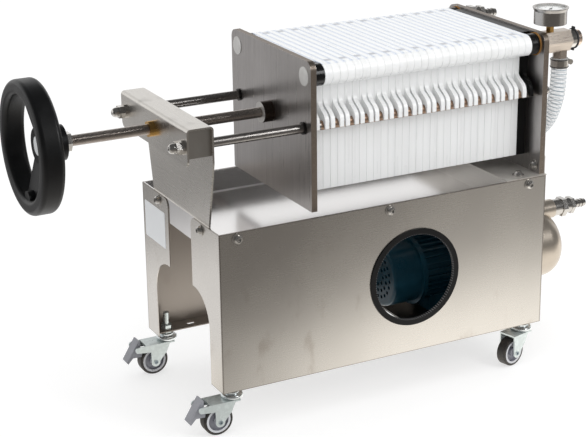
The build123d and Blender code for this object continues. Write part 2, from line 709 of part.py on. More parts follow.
def hose_tail(x0, pipe, y, z):
    """Barbed tail along X: pipe, two hexagons with a shoulder between them, and barbs, with a through bore."""
    hex_start = x0 + pipe
    neck_start = hex_start + TAIL_HEX
    shoulder_start = neck_start + TAIL_NECK
    small_hex_start = shoulder_start + TAIL_SHOULDER
    barb_start = hex_start + tail_fitting
    neck = TAIL_NECK_DIAMETER / 2
    root = TAIL_BARB_ROOT / 2
    points = [
        (neck_start, 0),
        (neck_start, neck),
        (shoulder_start, neck),
        (small_hex_start, TAIL_SHOULDER_DIAMETER / 2),
        (small_hex_start, root),
        (barb_start, root),
    ]
    for i in range(TAIL_BARBS):
        step = barb_start + i * TAIL_BARB_PITCH
        points.append((step, TAIL_BARB_DIAMETER / 2))
        points.append((step + TAIL_BARB_PITCH, root))
    tip = barb_start + TAIL_BARBS * TAIL_BARB_PITCH
    points.append((tip, 0))
    tail = spun_x(points, y, z)
    tail += rod_x(TAIL_PIPE_DIAMETER, x0, hex_start, y, z)
    tail += hex_x(TAIL_HEX_FLATS, hex_start, neck_start, y, z)
    tail += hex_x(TAIL_SMALL_HEX_FLATS, small_hex_start, barb_start, y, z)
    return tail - rod_x(TAIL_BORE, x0, tip, y, z)


def hose_end(index, neighbour):
    """A hose end and the direction in which the hose leaves it."""
    start = Vector(*hose_route[index])
    return start, (Vector(*hose_route[neighbour]) - start).normalized()


def pressure_hose():
    """Hose from the manifold's nipple to the pump's outlet, in runs joined by tangent arcs."""
    points = [Vector(*p) for p in hose_route]
    radii = []
    for before, corner, after in zip(points, points[1:], points[2:]):
        shorter = min((corner - before).length, (after - corner).length)
        turn = (corner - before).get_angle(after - corner)
        radii.append(HOSE_BEND_SHARE * shorter / math.tan(math.radians(turn / 2)))
    print("hose bend radii:", [round(r) for r in radii])
    route = FilletPolyline(*points, radius=radii)
    start, direction = hose_end(0, 1)
    hose = sweep(Plane(origin=start, z_dir=direction) * Circle(HOSE_DIAMETER / 2), path=route)
    section = math.pi * HOSE_DIAMETER ** 2 / 4
    print("hose length %.1f, volume over section %.1f" % (route.length, hose.volume / section))
    return hose


def hose_clamp(index, neighbour):
    """Band clamp near one end of the hose, with its screw housing."""
    start, direction = hose_end(index, neighbour)
    place = Plane(origin=start + direction * HOSE_CLAMP_FROM_END, x_dir=(1, 0, 0), z_dir=direction)
    inner = HOSE_DIAMETER / 2 + HOSE_CLAMP_GAP
    outer = inner + HOSE_CLAMP_WALL
    band = Cylinder(outer, HOSE_CLAMP)
    screw_out = outer + CLAMP_SCREW_DIAMETER / 2 - HOSE_CLAMP_WALL / 2
    band += Pos(screw_out, 0, 0) * Rot(90, 0, 0) * Cylinder(CLAMP_SCREW_DIAMETER / 2, CLAMP_SCREW_LENGTH)
    return place * (band - Cylinder(inner, 2 * HOSE_CLAMP))


def pump_body():
    """Domed stainless pump head beyond the cart's end, with its outlet and suction bosses."""
    radius = PUMP_DIAMETER / 2
    flange = PUMP_FLANGE_DIAMETER / 2
    start = cart_end + PUMP_FLANGE
    pump = spun_x([
        (start, 0),
        (start, flange),
        (start + PUMP_FLANGE, flange),
        (start + PUMP_FLANGE, radius),
        (pump_face, radius),
        (pump_face, 0),
    ], 0, PUMP_AXIS_Z)
    pump = fillet(pump.edges().filter_by(GeomType.CIRCLE).sort_by(Axis.X)[-1], PUMP_DOME_ROUND)
    pump += rod_x(SUCTION_BOSS_DIAMETER, start + 2 * PUMP_FLANGE, pump_face, 0, PUMP_AXIS_Z + SUCTION_RISE)
    end, direction = hose_end(-1, -2)
    outlet = Plane(origin=end, z_dir=-direction)
    pump += outlet * Pos(0, 0, HOSE_STUB_DEPTH / 2) * Cylinder(HOSE_STUB_DIAMETER / 2, HOSE_STUB_DEPTH)
    return pump


def motor_body():
    """Finned motor on a cast foot, with the nose that carries the pump."""
    z = PUMP_AXIS_Z
    fin_start = motor_tail + MOTOR_COWL + MOTOR_RING
    fin_end = fin_start + MOTOR_FINNED
    motor = rod_x(MOTOR_CORE_DIAMETER, fin_start - MOTOR_RING, fin_end, 0, z)
    motor += rod_x(MOTOR_RING_DIAMETER, fin_start - MOTOR_RING, fin_start, 0, z)
    motor += rod_x(MOTOR_RING_DIAMETER, fin_end, fin_end + MOTOR_RING, 0, z)
    motor += rod_x(MOTOR_NOSE_DIAMETER, fin_end, cart_end + PUMP_FLANGE, 0, z)
    for i in range(MOTOR_FINS):
        turn = Pos(0, 0, z) * Rot(360 * i / MOTOR_FINS, 0, 0)
        motor += turn * slab(fin_start, fin_end, -MOTOR_FIN / 2, MOTOR_FIN / 2, 0, MOTOR_DIAMETER / 2)
    shelf_top = CART_BOTTOM + SHEET + SHELF_SHEET
    middle = (fin_start + shelf_end) / 2
    pad = slab(middle - FOOT_LENGTH / 2, middle + FOOT_LENGTH / 2, -FOOT_WIDTH / 2, FOOT_WIDTH / 2,
               shelf_top, shelf_top + FOOT_PAD)
    stem = slab(middle - FOOT_LENGTH / 2, middle + FOOT_LENGTH / 2, -FOOT_STEM_WIDTH / 2, FOOT_STEM_WIDTH / 2,
                shelf_top, z)
    return motor + pad + stem


def fan_cowl():
    """Pressed cowl over the motor's fan, with rings of air holes in its end."""
    end = motor_tail + MOTOR_COWL
    cowl = rod_x(MOTOR_DIAMETER, motor_tail, end, 0, 0)
    rim = cowl.edges().filter_by(GeomType.CIRCLE).sort_by(Axis.X)[0]
    cowl = fillet(rim, COWL_HOLE_DEPTH)
    for radius, count in COWL_RINGS:
        hole = rod_x(COWL_HOLE, motor_tail, motor_tail + COWL_HOLE_DEPTH, 0, radius)
        for i in range(count):
            cowl -= Rot(360 * i / count, 0, 0) * hole
    return Pos(0, 0, PUMP_AXIS_Z) * cowl


def pump_shelf():
    """Plate across the foot flanges that carries the motor."""
    bottom = CART_BOTTOM + SHEET
    return slab(shelf_end - SHELF_LENGTH, shelf_end, -tray_side, tray_side, bottom, bottom + SHELF_SHEET)


def caster_stud(x, y):
    """Swivel stud bolted through a foot flange."""
    bottom = FORK_TOP
    top = CART_BOTTOM + SHEET + STUD_ABOVE
    stud = rod_z(STUD_DIAMETER, x, y, bottom, top)
    stud += hex_z(STUD_NUT_FLATS, x, y, cup_top + STUD_GAP, CART_BOTTOM)
    return stud + hex_z(STUD_NUT_FLATS, x, y, CART_BOTTOM + SHEET, CART_BOTTOM + SHEET + STUD_NUT)


def caster_fork(braked):
    """Pressed fork with its swivel cup and axle, trailing towards -X."""
    inner = FORK_GAP / 2
    axle = (-CASTER_TRAIL, wheel_radius)
    pin = (-PEDAL_PIN_OUT, PEDAL_PIN_Z)
    eye = AXLE_DIAMETER
    bridge_end = -CASTER_TRAIL - eye
    leg = make_face(Polyline(
        (0, FORK_TOP),
        (bridge_end, FORK_TOP),
        (bridge_end, wheel_radius),
        (-CASTER_TRAIL, wheel_radius),
        (-CASTER_TRAIL + eye / 2, wheel_radius - eye / 2),
        (-FORK_BROW_BACK, FORK_TOP - FORK_BROW),
        close=True,
    ))
    leg += Pos(*axle) * Circle(eye)
    if braked:
        pin_eye = PEDAL_PIN_DIAMETER
        bridge_end = -PEDAL_PIN_OUT + 3 * pin_eye
        leg += make_face(Polyline(
            (0, FORK_TOP),
            (bridge_end, FORK_TOP),
            (pin[0], pin[1] + pin_eye),
            (pin[0], pin[1] - pin_eye),
            (-CASTER_TRAIL - eye, pin[1] - 1.5 * pin_eye),
            close=True,
        ))
        leg += Pos(*pin) * Circle(pin_eye)
    fork = slab(bridge_end, FORK_FRONT, -fork_side, fork_side, FORK_TOP - FORK_SHEET, FORK_TOP)
    sheet = Plane.XZ * leg
    for y in (fork_side, -inner):
        fork += Pos(0, y, 0) * extrude(sheet, FORK_SHEET)
    cup = rectangle(0, CUP_DIAMETER / 2, FORK_TOP, FORK_TOP + CUP_DOME)
    cup = fillet(cup.vertices().group_by(Axis.X)[-1], CUP_ROUND)
    cup += rectangle(0, CUP_NECK_DIAMETER / 2, FORK_TOP, cup_top)
    fork += revolve(Plane.XZ * cup, Axis.Z)
    fork -= rod_z(STUD_DIAMETER + 2 * RUNNING_GAP, 0, 0, FORK_TOP - 2 * FORK_SHEET, cup_top + OVERLAP)
    fork += rod_y_axis(AXLE_DIAMETER, axle[0], -fork_side, fork_side, axle[1])
    for side in (-1, 1):
        face = side * (fork_side + RIVET_HEAD)
        fork += rod_y_axis(RIVET_DIAMETER, axle[0], side * fork_side, face, axle[1])
        fork -= rod_y_axis(RIVET_RECESS, axle[0], side * fork_side, face, axle[1])
    if braked:
        fork += rod_y_axis(PEDAL_PIN_DIAMETER, pin[0], -fork_side, fork_side, pin[1])
    return fork


def brake_pedal():
    """Grey rocker pedal on the fork's pin, with a shoe that stops just short of the tyre."""
    pin_x = -PEDAL_PIN_OUT
    outline = make_face(Polyline([(pin_x + x, PEDAL_PIN_Z + z) for x, z in PEDAL_OUTLINE], close=True))
    pedal = Pos(0, PEDAL_WIDTH / 2, 0) * extrude(Plane.XZ * outline, PEDAL_WIDTH)
    bore = PEDAL_PIN_DIAMETER + 2 * RUNNING_GAP
    return pedal - rod_y_axis(bore, pin_x, -PEDAL_WIDTH, PEDAL_WIDTH, PEDAL_PIN_Z)


def wheel_hub():
    """Moulded wheel centre with a thin web and a long boss on the axle."""
    half = WHEEL_WIDTH / 2
    boss_half = FORK_GAP / 2 - HUB_SIDE_GAP
    rim = wheel_radius - TYRE_DEPTH
    rim_inner = rim - WHEEL_RIM
    hub = rod_y_axis(2 * rim, 0, -half, half, 0)
    for side in (-1, 1):
        hub -= rod_y_axis(2 * rim_inner, 0, side * half, side * WHEEL_WEB / 2, 0)
    hub += rod_y_axis(HUB_BOSS_DIAMETER, 0, -boss_half, boss_half, 0)
    hub -= rod_y_axis(AXLE_DIAMETER + 2 * RUNNING_GAP, 0, -boss_half, boss_half, 0)
    return Pos(-CASTER_TRAIL, 0, wheel_radius) * hub


def wheel_tyre():
    """Rubber tyre with rounded shoulders."""
    half = WHEEL_WIDTH / 2
    inner = wheel_radius - TYRE_DEPTH + TYRE_GAP
    tyre = rod_y_axis(WHEEL_DIAMETER, 0, -half, half, 0)
    tyre = fillet(tyre.edges().filter_by(GeomType.CIRCLE), TYRE_ROUND)
    tyre -= rod_y_axis(2 * inner, 0, -half, half, 0)
    return Pos(-CASTER_TRAIL, 0, wheel_radius) * tyre


def save(node, pieces):
    """Write one node's solids, moved to the part's own origin."""
    solids = []
    for piece in pieces if isinstance(pieces, list) else [pieces]:
        solids += (Pos(row_shift, 0, 0) * piece).solids()
    export_step(Compound(children=solids) if len(solids) > 1 else solids[0], f"parts/{node}.step")


os.makedirs("parts", exist_ok=True)
save("front_side_panel", side_panel(-1, True))
save("rear_side_panel", side_panel(1, False))
save("window_trim", window_trim())
save("drip_tray", drip_tray())
save("head_bracket", head_bracket())
save("press_upright", press_upright())
save("beam_end_caps", both(beam_end_cap))
save("spindle_nut", spindle_nut())
save("front_tie_rod", tie_rod(-1))
save("rear_tie_rod", tie_rod(1))
save("tie_rod_nuts", [acorn_nut(face, way, side * rod_y)
                      for face, way in ((beam_front, -1), (fixed_back, 1)) for side in (-1, 1)])
save("fixed_head", fixed_head())
save("fixed_end_plate", filter_plate(plates_start, END_PLATE, False, 0))
save("filter_plates_odd", plate_set(0))
save("filter_plates_even", plate_set(1))
save("fixed_port_seals", both(lambda side: port_seal(plates_start, fixed_face - SEAL_RING, side)))
save("fixed_seal_rings", both(lambda side: seal_ring(fixed_face - SEAL_RING, fixed_face, side)))
save("moving_head", moving_head())
save("moving_end_plate", filter_plate(moving_face, END_PLATE, False, 0))
save("moving_port_seals", both(lambda side: port_seal(moving_face + SEAL_RING, plates_end, side)))
save("moving_seal_rings", both(lambda side: seal_ring(moving_face, moving_face + SEAL_RING, side)))
save("rod_bushes", both(rod_bush))
save("port_plugs", both(port_plug))
save("thrust_collar", thrust_collar())
save("spindle", spindle())
save("handwheel", handwheel())
save("hub_cap", hub_cap())
save("jam_nut", jam_nut())
save("inlet_manifold", inlet_manifold())
save("manifold_plug_ring", manifold_plug_ring())
save("manifold_plug_disc", manifold_plug_disc())
gauge_case, gauge_brass, gauge_dial, gauge_glass = gauge_pieces()
save("gauge_case", gauge_case)
save("gauge_brass", gauge_brass)
save("gauge_dial", gauge_dial)
save("gauge_glass", gauge_glass)
save("outlet_tail", hose_tail(fixed_back, OUTLET_PIPE, port_y, port_z))
save("suction_tail", hose_tail(pump_face, SUCTION_PIPE, 0, PUMP_AXIS_Z + SUCTION_RISE))
save("pump_body", pump_body())
save("motor_body", motor_body())
save("fan_cowl", fan_cowl())
save("pump_shelf", pump_shelf())
save("pressure_hose", pressure_hose())
save("hose_clamps", [hose_clamp(0, 1), hose_clamp(-1, -2)])
corners = {
    "left_front": (-caster_x, -caster_y, 0, True),
    "left_rear": (-caster_x, caster_y, 0, True),
    "right_front": (caster_x, -caster_y, CASTER_TURN, False),
    "right_rear": (caster_x, caster_y, -CASTER_TURN, False),
}
save("caster_studs", [caster_stud(x, y) for x, y, turn, braked in corners.values()])
for corner, (x, y, turn, braked) in corners.items():
    place = Pos(x, y, 0) * Rot(0, 0, turn)
    save(f"{corner}_fork", place * caster_fork(braked))
    save(f"{corner}_wheel_hub", place * wheel_hub())
    save(f"{corner}_tyre", place * wheel_tyre())
    if braked:
        save(f"{corner}_pedal", place * brake_pedal())
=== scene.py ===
"""Finishes, fine pieces and studio for the plate filter press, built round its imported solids."""

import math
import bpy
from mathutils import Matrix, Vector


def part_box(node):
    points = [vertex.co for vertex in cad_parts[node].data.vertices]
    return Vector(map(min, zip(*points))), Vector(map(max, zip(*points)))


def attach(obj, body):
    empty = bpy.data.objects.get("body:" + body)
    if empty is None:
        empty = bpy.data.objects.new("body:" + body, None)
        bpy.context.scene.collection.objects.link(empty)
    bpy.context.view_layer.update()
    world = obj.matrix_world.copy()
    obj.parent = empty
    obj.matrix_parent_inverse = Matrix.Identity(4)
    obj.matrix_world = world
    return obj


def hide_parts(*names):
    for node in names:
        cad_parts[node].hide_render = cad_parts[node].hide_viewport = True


bl_info = {
    "name": "Plate Filter Press",
    "version": (1, 0, 0),
    "blender": (4, 5, 0),
    "location": "3D View > Sidebar > Filter Press",
    "description": "Finishes, fine pieces and a plain studio for the plate filter press",
    "category": "Object",
}

import bmesh
import bpy
from mathutils import Matrix, Vector

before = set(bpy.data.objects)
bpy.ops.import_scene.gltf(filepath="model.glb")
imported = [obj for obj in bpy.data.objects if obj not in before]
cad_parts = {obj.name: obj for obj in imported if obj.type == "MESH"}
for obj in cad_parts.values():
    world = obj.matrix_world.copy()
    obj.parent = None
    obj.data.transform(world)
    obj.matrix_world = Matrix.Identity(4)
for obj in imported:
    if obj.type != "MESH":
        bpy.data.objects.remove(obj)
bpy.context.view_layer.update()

MM = 0.001
PLATE_PITCH = 13.15 * MM
PLATES_BEFORE = 64.0
MARK_FROM_MIDDLE = 105.0 * MM
FORK_TOP = 57.5 * MM
WHEEL_HALF = 9.0 * MM
RIVET_RADIUS = 3.6 * MM
TRIM_RIBS = 150.0
TRIM_BEADS = 110.0
TRIM_WIDTH = 9.6 * MM
CASTER_TURNS = {"left_front": 0.0, "left_rear": 0.0, "right_front": 15.0, "right_rear": -15.0}
panel_low, panel_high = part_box("front_side_panel")
ROW_SHIFT = (panel_low.x + panel_high.x) / 2


def at(x, y, z):
    """A point in millimetres from the cart's middle on the floor, in the frame's metres."""
    return Vector((ROW_SHIFT + x * MM, y * MM, z * MM))


def tone(code):
    """A screen colour such as "#a29d99" as linear red, green and blue."""
    parts = [int(code[i:i + 2], 16) / 255 for i in (1, 3, 5)]
    return tuple(c / 12.92 if c <= 0.04045 else ((c + 0.055) / 1.055) ** 2.4 for c in parts)


def number(name, description, default, **more):
    """A number for a property group, with its unit, subtype or limits."""
    return bpy.props.FloatProperty(name=name, description=description, default=default, **more)


def length(name, description, default):
    """A size in metres for a property group."""
    return number(name, description, default, unit="LENGTH", precision=4)


def angle(name, description, degrees):
    """An angle for a property group."""
    return number(name, description, math.radians(degrees), subtype="ANGLE")


def colour(name, description, code):
    """A colour for a property group."""
    return bpy.props.FloatVectorProperty(
        name=name, description=description, default=tone(code), subtype="COLOR", size=3, min=0.0, max=1.0)


class FinishSettings(bpy.types.PropertyGroup):
    """Colours of the press."""

    sheet: colour("Sheet", "Folded stainless sheet of the cart and the beam", "#d4d0ca")
    tray: colour("Tray", "Drip tray under the plates", "#f1efee")
    head: colour("Heads", "Faces of the two press heads", "#c4c0be")
    head_edge: colour("Head edges", "Sawn edges of the two press heads", "#b5a89c")
    bright: colour("Bright steel", "Turned and polished steel", "#d6d3cf")
    pump: colour("Pump head", "Spun steel of the pump's head", "#c4baad")
    hexagon: colour("Hexagon bar", "Drawn bar of the inlet manifold", "#c8bdb2")
    collar: colour("Collar", "Blackened side of the thrust collar", "#4a413b")
    rod: colour("Rods", "Drawn tie rods", "#a8a4a1")
    rod_stain: colour("Rod in pack", "Tie rods between the plates", "#a9886f")
    screw: colour("Spindle", "Threaded spindle", "#b9b0a9")
    brass: colour("Brass", "Spindle nut, gauge stem and vent", "#dcb069")
    rose_brass: colour("Rose brass", "Disc at the manifold's end", "#efd8c8")
    plate: colour("Plates", "White filter plates", "#f5f6f6")
    # Painted shade on the plate tops next to the gaps between plates.
    plate_stripe: colour("Plate gap shade", "Shaded stripe along the top of each plate", "#dce2ec")
    # Grey painted as the shade of shallow moulded recesses on every second plate.
    plate_mark: colour("Plate recess shade", "Moulded marks near the ends of every second plate", "#a9abb2")
    black: colour("Black plastic", "Handwheel and end plate", "#07080a")
    rubber: colour("Rubber", "Seals and window edging", "#0c0c0d")
    fibre: colour("Fibre", "Seal rings", "#a0733a")
    paint: colour("Motor paint", "Motor and its cowl", "#123847")
    zinc: colour("Zinc", "Caster forks and studs", "#dde6e5")
    tyre: colour("Tyres", "Caster tyres", "#2a2826")
    wheel: colour("Wheel centres", "Moulded wheel centres", "#9c9da6")
    # Painted highlight on the raised ring of the wheel centres.
    wheel_ring: colour("Wheel ring highlight", "Raised ring of the wheel centres", "#d9dade")
    pedal: colour("Pedals", "Brake pedals", "#8f9096")
    hose_wall: colour("Hose wall", "Clear hose between its ribs", "#fbfdfe")
    # Grey-blue painted on the hose's ribs as shade.
    hose_rib: colour("Hose rib shade", "Coil inside the clear hose", "#8496a2")
    label: colour("Label", "Bare label on the rear flange", "#eceef0")


class PieceSettings(bpy.types.PropertyGroup):
    """Sizes of the fine pieces."""

    hose_rib_pitch: length("Hose rib pitch", "Distance between two ribs of the hose", 7.0 * MM)
    hose_rib_depth: length("Hose rib depth", "Height of the hose's ribs", 0.5 * MM)
    thread_lead: length("Thread lead", "Advance of the spindle in one turn", 4.0 * MM)
    thread_depth: length("Thread depth", "Depth of the spindle's thread", 0.5 * MM)
    washer: length("Screw washer", "Diameter of the panel screws' washers", 19.0 * MM)
    screw_head: length("Screw head", "Diameter of the panel screws' heads", 14.5 * MM)
    screw_rise: length("Screw height", "Height of the panel screws' heads", 5.5 * MM)
    socket: length("Screw socket", "Width of the panel screws' hexagon sockets", 6.0 * MM)
    tick_length: length("Tick length", "Length of the ticks on the gauge", 4.0 * MM)
    tick_width: length("Tick width", "Width of the ticks on the gauge", 0.6 * MM)
    label_width: length("Label width", "Width of the bare label", 83.0 * MM)
    label_height: length("Label height", "Height of the bare label", 62.0 * MM)


class StudioSettings(bpy.types.PropertyGroup):
    """Camera and light."""

    azimuth: angle("Azimuth", "Camera's turn about the press", -27.19)
    elevation: angle("Elevation", "Camera's height above the horizon", 19.52)
    roll: angle("Roll", "Camera's tilt", -0.72)
    distance: length("Distance", "Camera's distance from the middle of the floor", 2795.72 * MM)
    across: length("Across", "Camera's shift to its right", -89.35 * MM)
    above: length("Above", "Camera's shift upwards", 251.41 * MM)
    lens: number("Lens", "Focal length on a 36 mm sensor", 99.21, min=10.0, max=300.0)
    key_power: number("Key light", "Power of the overhead soft light in watts", 9.0, min=0.0)
    fill_power: number("Fill light", "Power of the small front light in watts", 16.0, min=0.0)
    ambient: number("Ambient", "Level of the light from all round", 0.84, min=0.0, max=2.0)


class Signal:
    """A node's output that takes part in plain arithmetic."""

    def __init__(self, network, socket):
        self.network = network
        self.socket = socket

    def combine(self, operation, first, second):
        return self.network.maths(operation, first, second)

    def __add__(self, other):
        return self.combine("ADD", self, other)

    def __radd__(self, other):
        return self.combine("ADD", other, self)

    def __sub__(self, other):
        return self.combine("SUBTRACT", self, other)

    def __rsub__(self, other):
        return self.combine("SUBTRACT", other, self)

    def __mul__(self, other):
        return self.combine("MULTIPLY", self, other)

    def __rmul__(self, other):
        return self.combine("MULTIPLY", other, self)

    def __truediv__(self, other):
        return self.combine("DIVIDE", self, other)

    def __rtruediv__(self, other):
        return self.combine("DIVIDE", other, self)

    def __gt__(self, other):
        return self.combine("GREATER_THAN", self, other)

    def __lt__(self, other):
        return self.combine("LESS_THAN", self, other)

    def __abs__(self):
        return self.network.maths("ABSOLUTE", self)


class Network:
    """A node tree that is filled one node at a time."""

    def __init__(self, tree):
        self.tree = tree

    def add(self, kind, settings=None, sockets=None, output=0):
        """Add a node: its settings first, then the values or links of its sockets."""
        node = self.tree.nodes.new(kind)
        for name, value in (settings or {}).items():
            setattr(node, name, value)
        for key, value in (sockets or {}).items():
            self.feed(node.inputs[key], value)
        return Signal(self, node.outputs[output])

    def feed(self, socket, value):
        """Link a signal to a socket, or set the socket's own value."""
        if isinstance(value, Signal):
            self.tree.links.new(value.socket, socket)
        else:
            socket.default_value = value

    def split(self, vector):
        """The three parts of a vector."""
        first = self.add("ShaderNodeSeparateXYZ", None, {0: vector})
        outputs = first.socket.node.outputs
        return [Signal(self, socket) for socket in outputs]

    def ramp(self, value, low, high, start=0.0, end=1.0):
        """A value brought smoothly from low..high to start..end, and held there."""
        return self.add("ShaderNodeMapRange", {"interpolation_type": "SMOOTHSTEP"},
                        {0: value, 1: low, 2: high, 3: start, 4: end})

    def maths(self, operation, *values):
        """One step of arithmetic on signals and numbers."""
        return self.add("ShaderNodeMath", {"operation": operation}, dict(enumerate(values)))

    def blend(self, share, first, second):
        """One colour going over into another."""
        pair = [c if isinstance(c, Signal) else (*c[:3], 1.0) for c in (first, second)]
        return self.add("ShaderNodeMix", {"data_type": "RGBA"}, {0: share, 6: pair[0], 7: pair[1]}, 2)


class Finish(Network):
    """A surface with one principled shader."""

    def __init__(self, name, values):
        self.material = bpy.data.materials.new(name)
        self.material.use_nodes = True
        super().__init__(self.material.node_tree)
        self.shader = self.tree.nodes["Principled BSDF"]
        self.place = self.add("ShaderNodeTexCoord", None, None, "Object")
        self.x, self.y, self.z = self.split(self.place)
        self.give(values)

    def give(self, values):
        """Set or link the shader's own sockets."""
        for name, value in values.items():
            if isinstance(value, tuple) and len(value) == 3 and name.endswith("Color"):
                value = (*value, 1.0)
            self.feed(self.shader.inputs[name], value)

    def noise(self, scale, detail=2.0, stretch=(1.0, 1.0, 1.0), shift=(0.0, 0.0, 0.0)):
        """Soft noise on the object's own coordinates."""
        spot = self.add("ShaderNodeMapping", None,
                        {"Vector": self.place, "Location": shift, "Scale": stretch})
        return self.add("ShaderNodeTexNoise", None, {"Vector": spot, "Scale": scale, "Detail": detail})

    def bump(self, height, strength, distance):
        """Relief from a height."""
        normal = self.add("ShaderNodeBump", None,
                          {"Strength": strength, "Distance": distance, "Height": height})
        self.give({"Normal": normal})


def darker(shade, share):
    """A colour brought down by a share."""
    return tuple(c * share for c in shade)


BRUSHED = {"x": (0.03, 1.0, 1.0), "y": (1.0, 0.03, 1.0), "z": (1.0, 1.0, 0.03)}
FINE_LINES = 900.0
# Dark colour painted along the edges and folds of the sheets as shade.
PAINTED_EDGE_SHADE = (0.13, 0.10, 0.08)
INK = (0.02, 0.02, 0.022)


def steel(name, shade, roughness, along, streaks=0.10, clouds=0.10, marks=0.0, relief=0.004, metal=1.0):
    """Stainless steel brushed along one axis, with soft clouds and handling marks."""
    finish = Finish(name, {"Metallic": metal})
    streak = finish.noise(FINE_LINES, 3.0, BRUSHED[along])
    cloud = finish.noise(9.0, 4.0)
    smear = finish.noise(26.0, 5.0, (1.0, 1.0, 0.45), (0.31, 0.12, 0.57))
    mark = finish.ramp(smear, 0.58, 0.74)
    body = finish.blend(finish.ramp(cloud, 0.3, 0.7), darker(shade, 1.0 - clouds), shade)
    lined = finish.blend(finish.ramp(streak, 0.35, 0.65) * 0.5, body, darker(shade, 1.0 - streaks))
    finish.give({
        "Base Color": finish.blend(mark * marks, lined, darker(shade, 0.55)),
        "Roughness": roughness + (streak - 0.5) * streaks + (cloud - 0.5) * clouds + mark * (0.6 * marks),
    })
    finish.bump(streak, relief, 0.0003)
    return finish.material


def satin_sheet(name, shade, along, cloud_scale, share, roughness):
    """Start a satin sheet: its finish, its clouded colour and its roughness."""
    finish = Finish(name, {})
    cloud = finish.noise(cloud_scale, 4.0)
    fine = finish.noise(FINE_LINES, 3.0, BRUSHED[along])
    finish.bump(fine, 0.003, 0.0002)
    body = finish.blend(finish.ramp(cloud, 0.3, 0.7), darker(shade, share), shade)
    return finish, body, roughness + (cloud - 0.5) * 0.06 + (fine - 0.5) * 0.04


def panel_steel(name, node, shade):
    """Side panel of the cart: satin outside with light stains; inner faces rougher, less metallic and
    darkened as painted shade; painted shade along folds and edges.
    """
    low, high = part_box(node)
    depth = max(abs(low.y), abs(high.y))
    middle = (low.x + high.x) / 2
    half = (high.x - low.x) / 2
    finish, body, roughness = satin_sheet(name, shade, "x", 7.0, 0.93, 0.27)
    smear = finish.noise(24.0, 5.0, (1.0, 1.0, 0.5), (0.31, 0.12, 0.57))
    from_end = half - abs(finish.x - middle)
    from_face = depth - abs(finish.y)
    inside = (from_face > 1.0 * MM) * (from_end > 1.0 * MM)
    near_end = finish.ramp(from_end, 0.6 * MM, 2.8 * MM, 1.0, 0.0)
    fold = near_end * finish.ramp(from_face, 0.6 * MM, 2.8 * MM, 1.0, 0.0)
    foot = finish.ramp(finish.z, low.z + 0.4 * MM, low.z + 1.6 * MM, 1.0, 0.0)
    top = finish.ramp(finish.z, high.z - 1.4 * MM, high.z - 0.4 * MM)
    edges = finish.ramp(fold + foot + top, 0.0, 1.0)
    stain = finish.ramp(smear, 0.58, 0.76) * finish.ramp(finish.z, low.z, high.z, 0.45, 0.12)
    body = finish.blend(stain, body, (0.34, 0.28, 0.23))
    # Inner faces turned dark brown: painted shade inside the cart.
    body = finish.blend(inside * 0.75, body, (0.36, 0.31, 0.27))
    finish.give({
        # Painted shade along the folds, the foot and the top edge.
        "Base Color": finish.blend(edges * 0.6, body, PAINTED_EDGE_SHADE),
        "Metallic": 1.0 - inside * 0.35,
        "Roughness": roughness + inside * 0.12,
    })
    return finish.material


def tray_steel(shade):
    """Drip tray: smooth satin sheet that mirrors the plates, with painted shade along its long edges; its
    bottom fold is rougher and less metallic to show a light line in place of the fold's highlight.
    """
    low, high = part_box("drip_tray")
    finish, body, roughness = satin_sheet("tray_sheet", shade, "y", 9.0, 0.94, 0.19)
    edge = finish.ramp(abs(finish.y), high.y - 1.8 * MM, high.y - 0.8 * MM)
    bend = (abs(finish.y) > high.y - 4.0 * MM) * (finish.z < low.z + 3.5 * MM)
    finish.give({
        # Painted shade along the long edges, left off at the bottom fold.
        "Base Color": finish.blend(edge * (1.0 - bend) * 0.7, body, PAINTED_EDGE_SHADE),
        "Metallic": 1.0 - bend * 0.6,
        "Roughness": roughness + bend * 0.2,
    })
    return finish.material


def head_steel(name, node, settings):
    """Thick plate: faces brushed upright, sawn edges with a coarse bright grain."""
    low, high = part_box(node)
    middle = (low.x + high.x) / 2
    half = (high.x - low.x) / 2
    finish = Finish(name, {"Metallic": 1.0})
    edge = abs(finish.x - middle) < half - 0.2 * MM
    streak = finish.noise(420.0, 4.0, (1.0, 1.0, 0.02))
    cloud = finish.noise(11.0, 4.0)
    grain = finish.noise(620.0, 3.0)
    speck = finish.ramp(grain, 0.56, 0.66)
    shade = tuple(settings.head)
    rim = tuple(settings.head_edge)
    face = finish.blend(finish.ramp(streak, 0.3, 0.7), darker(shade, 0.87), shade)
    face = finish.blend(finish.ramp(cloud, 0.35, 0.7) * 0.4, face, darker(shade, 0.72))
    side = finish.blend(speck, darker(rim, 0.72), rim)
    finish.give({
        "Base Color": finish.blend(edge, face, side),
        "Roughness": 0.30 + (streak - 0.5) * 0.16 + edge * (0.16 + (grain - 0.5) * 0.3),
    })
    finish.bump(streak + edge * (grain - streak), 0.16, 0.0004)
    return finish.material


def turned_metal(name, shade, roughness, wear, metal, relief):
    """Start a turned metal: its finish, its colour with dulled patches and its roughness."""
    finish = Finish(name, {"Metallic": metal})
    dull = finish.noise(60.0, 4.0)
    fine = finish.noise(1500.0, 2.0, (1.0, 0.2, 0.2))
    finish.bump(fine, relief, 0.0002)
    body = finish.blend(finish.ramp(dull, 0.35, 0.75), shade, darker(shade, 1.0 - wear))
    return finish, body, roughness + (dull - 0.5) * wear * 2 + (fine - 0.5) * 0.05


def polished(name, shade, roughness, wear=0.06, metal=1.0, relief=0.03):
    """Turned or polished metal with fine turning marks."""
    finish, body, gloss = turned_metal(name, shade, roughness, wear, metal, relief)
    finish.give({"Base Color": body, "Roughness": gloss})
    return finish.material


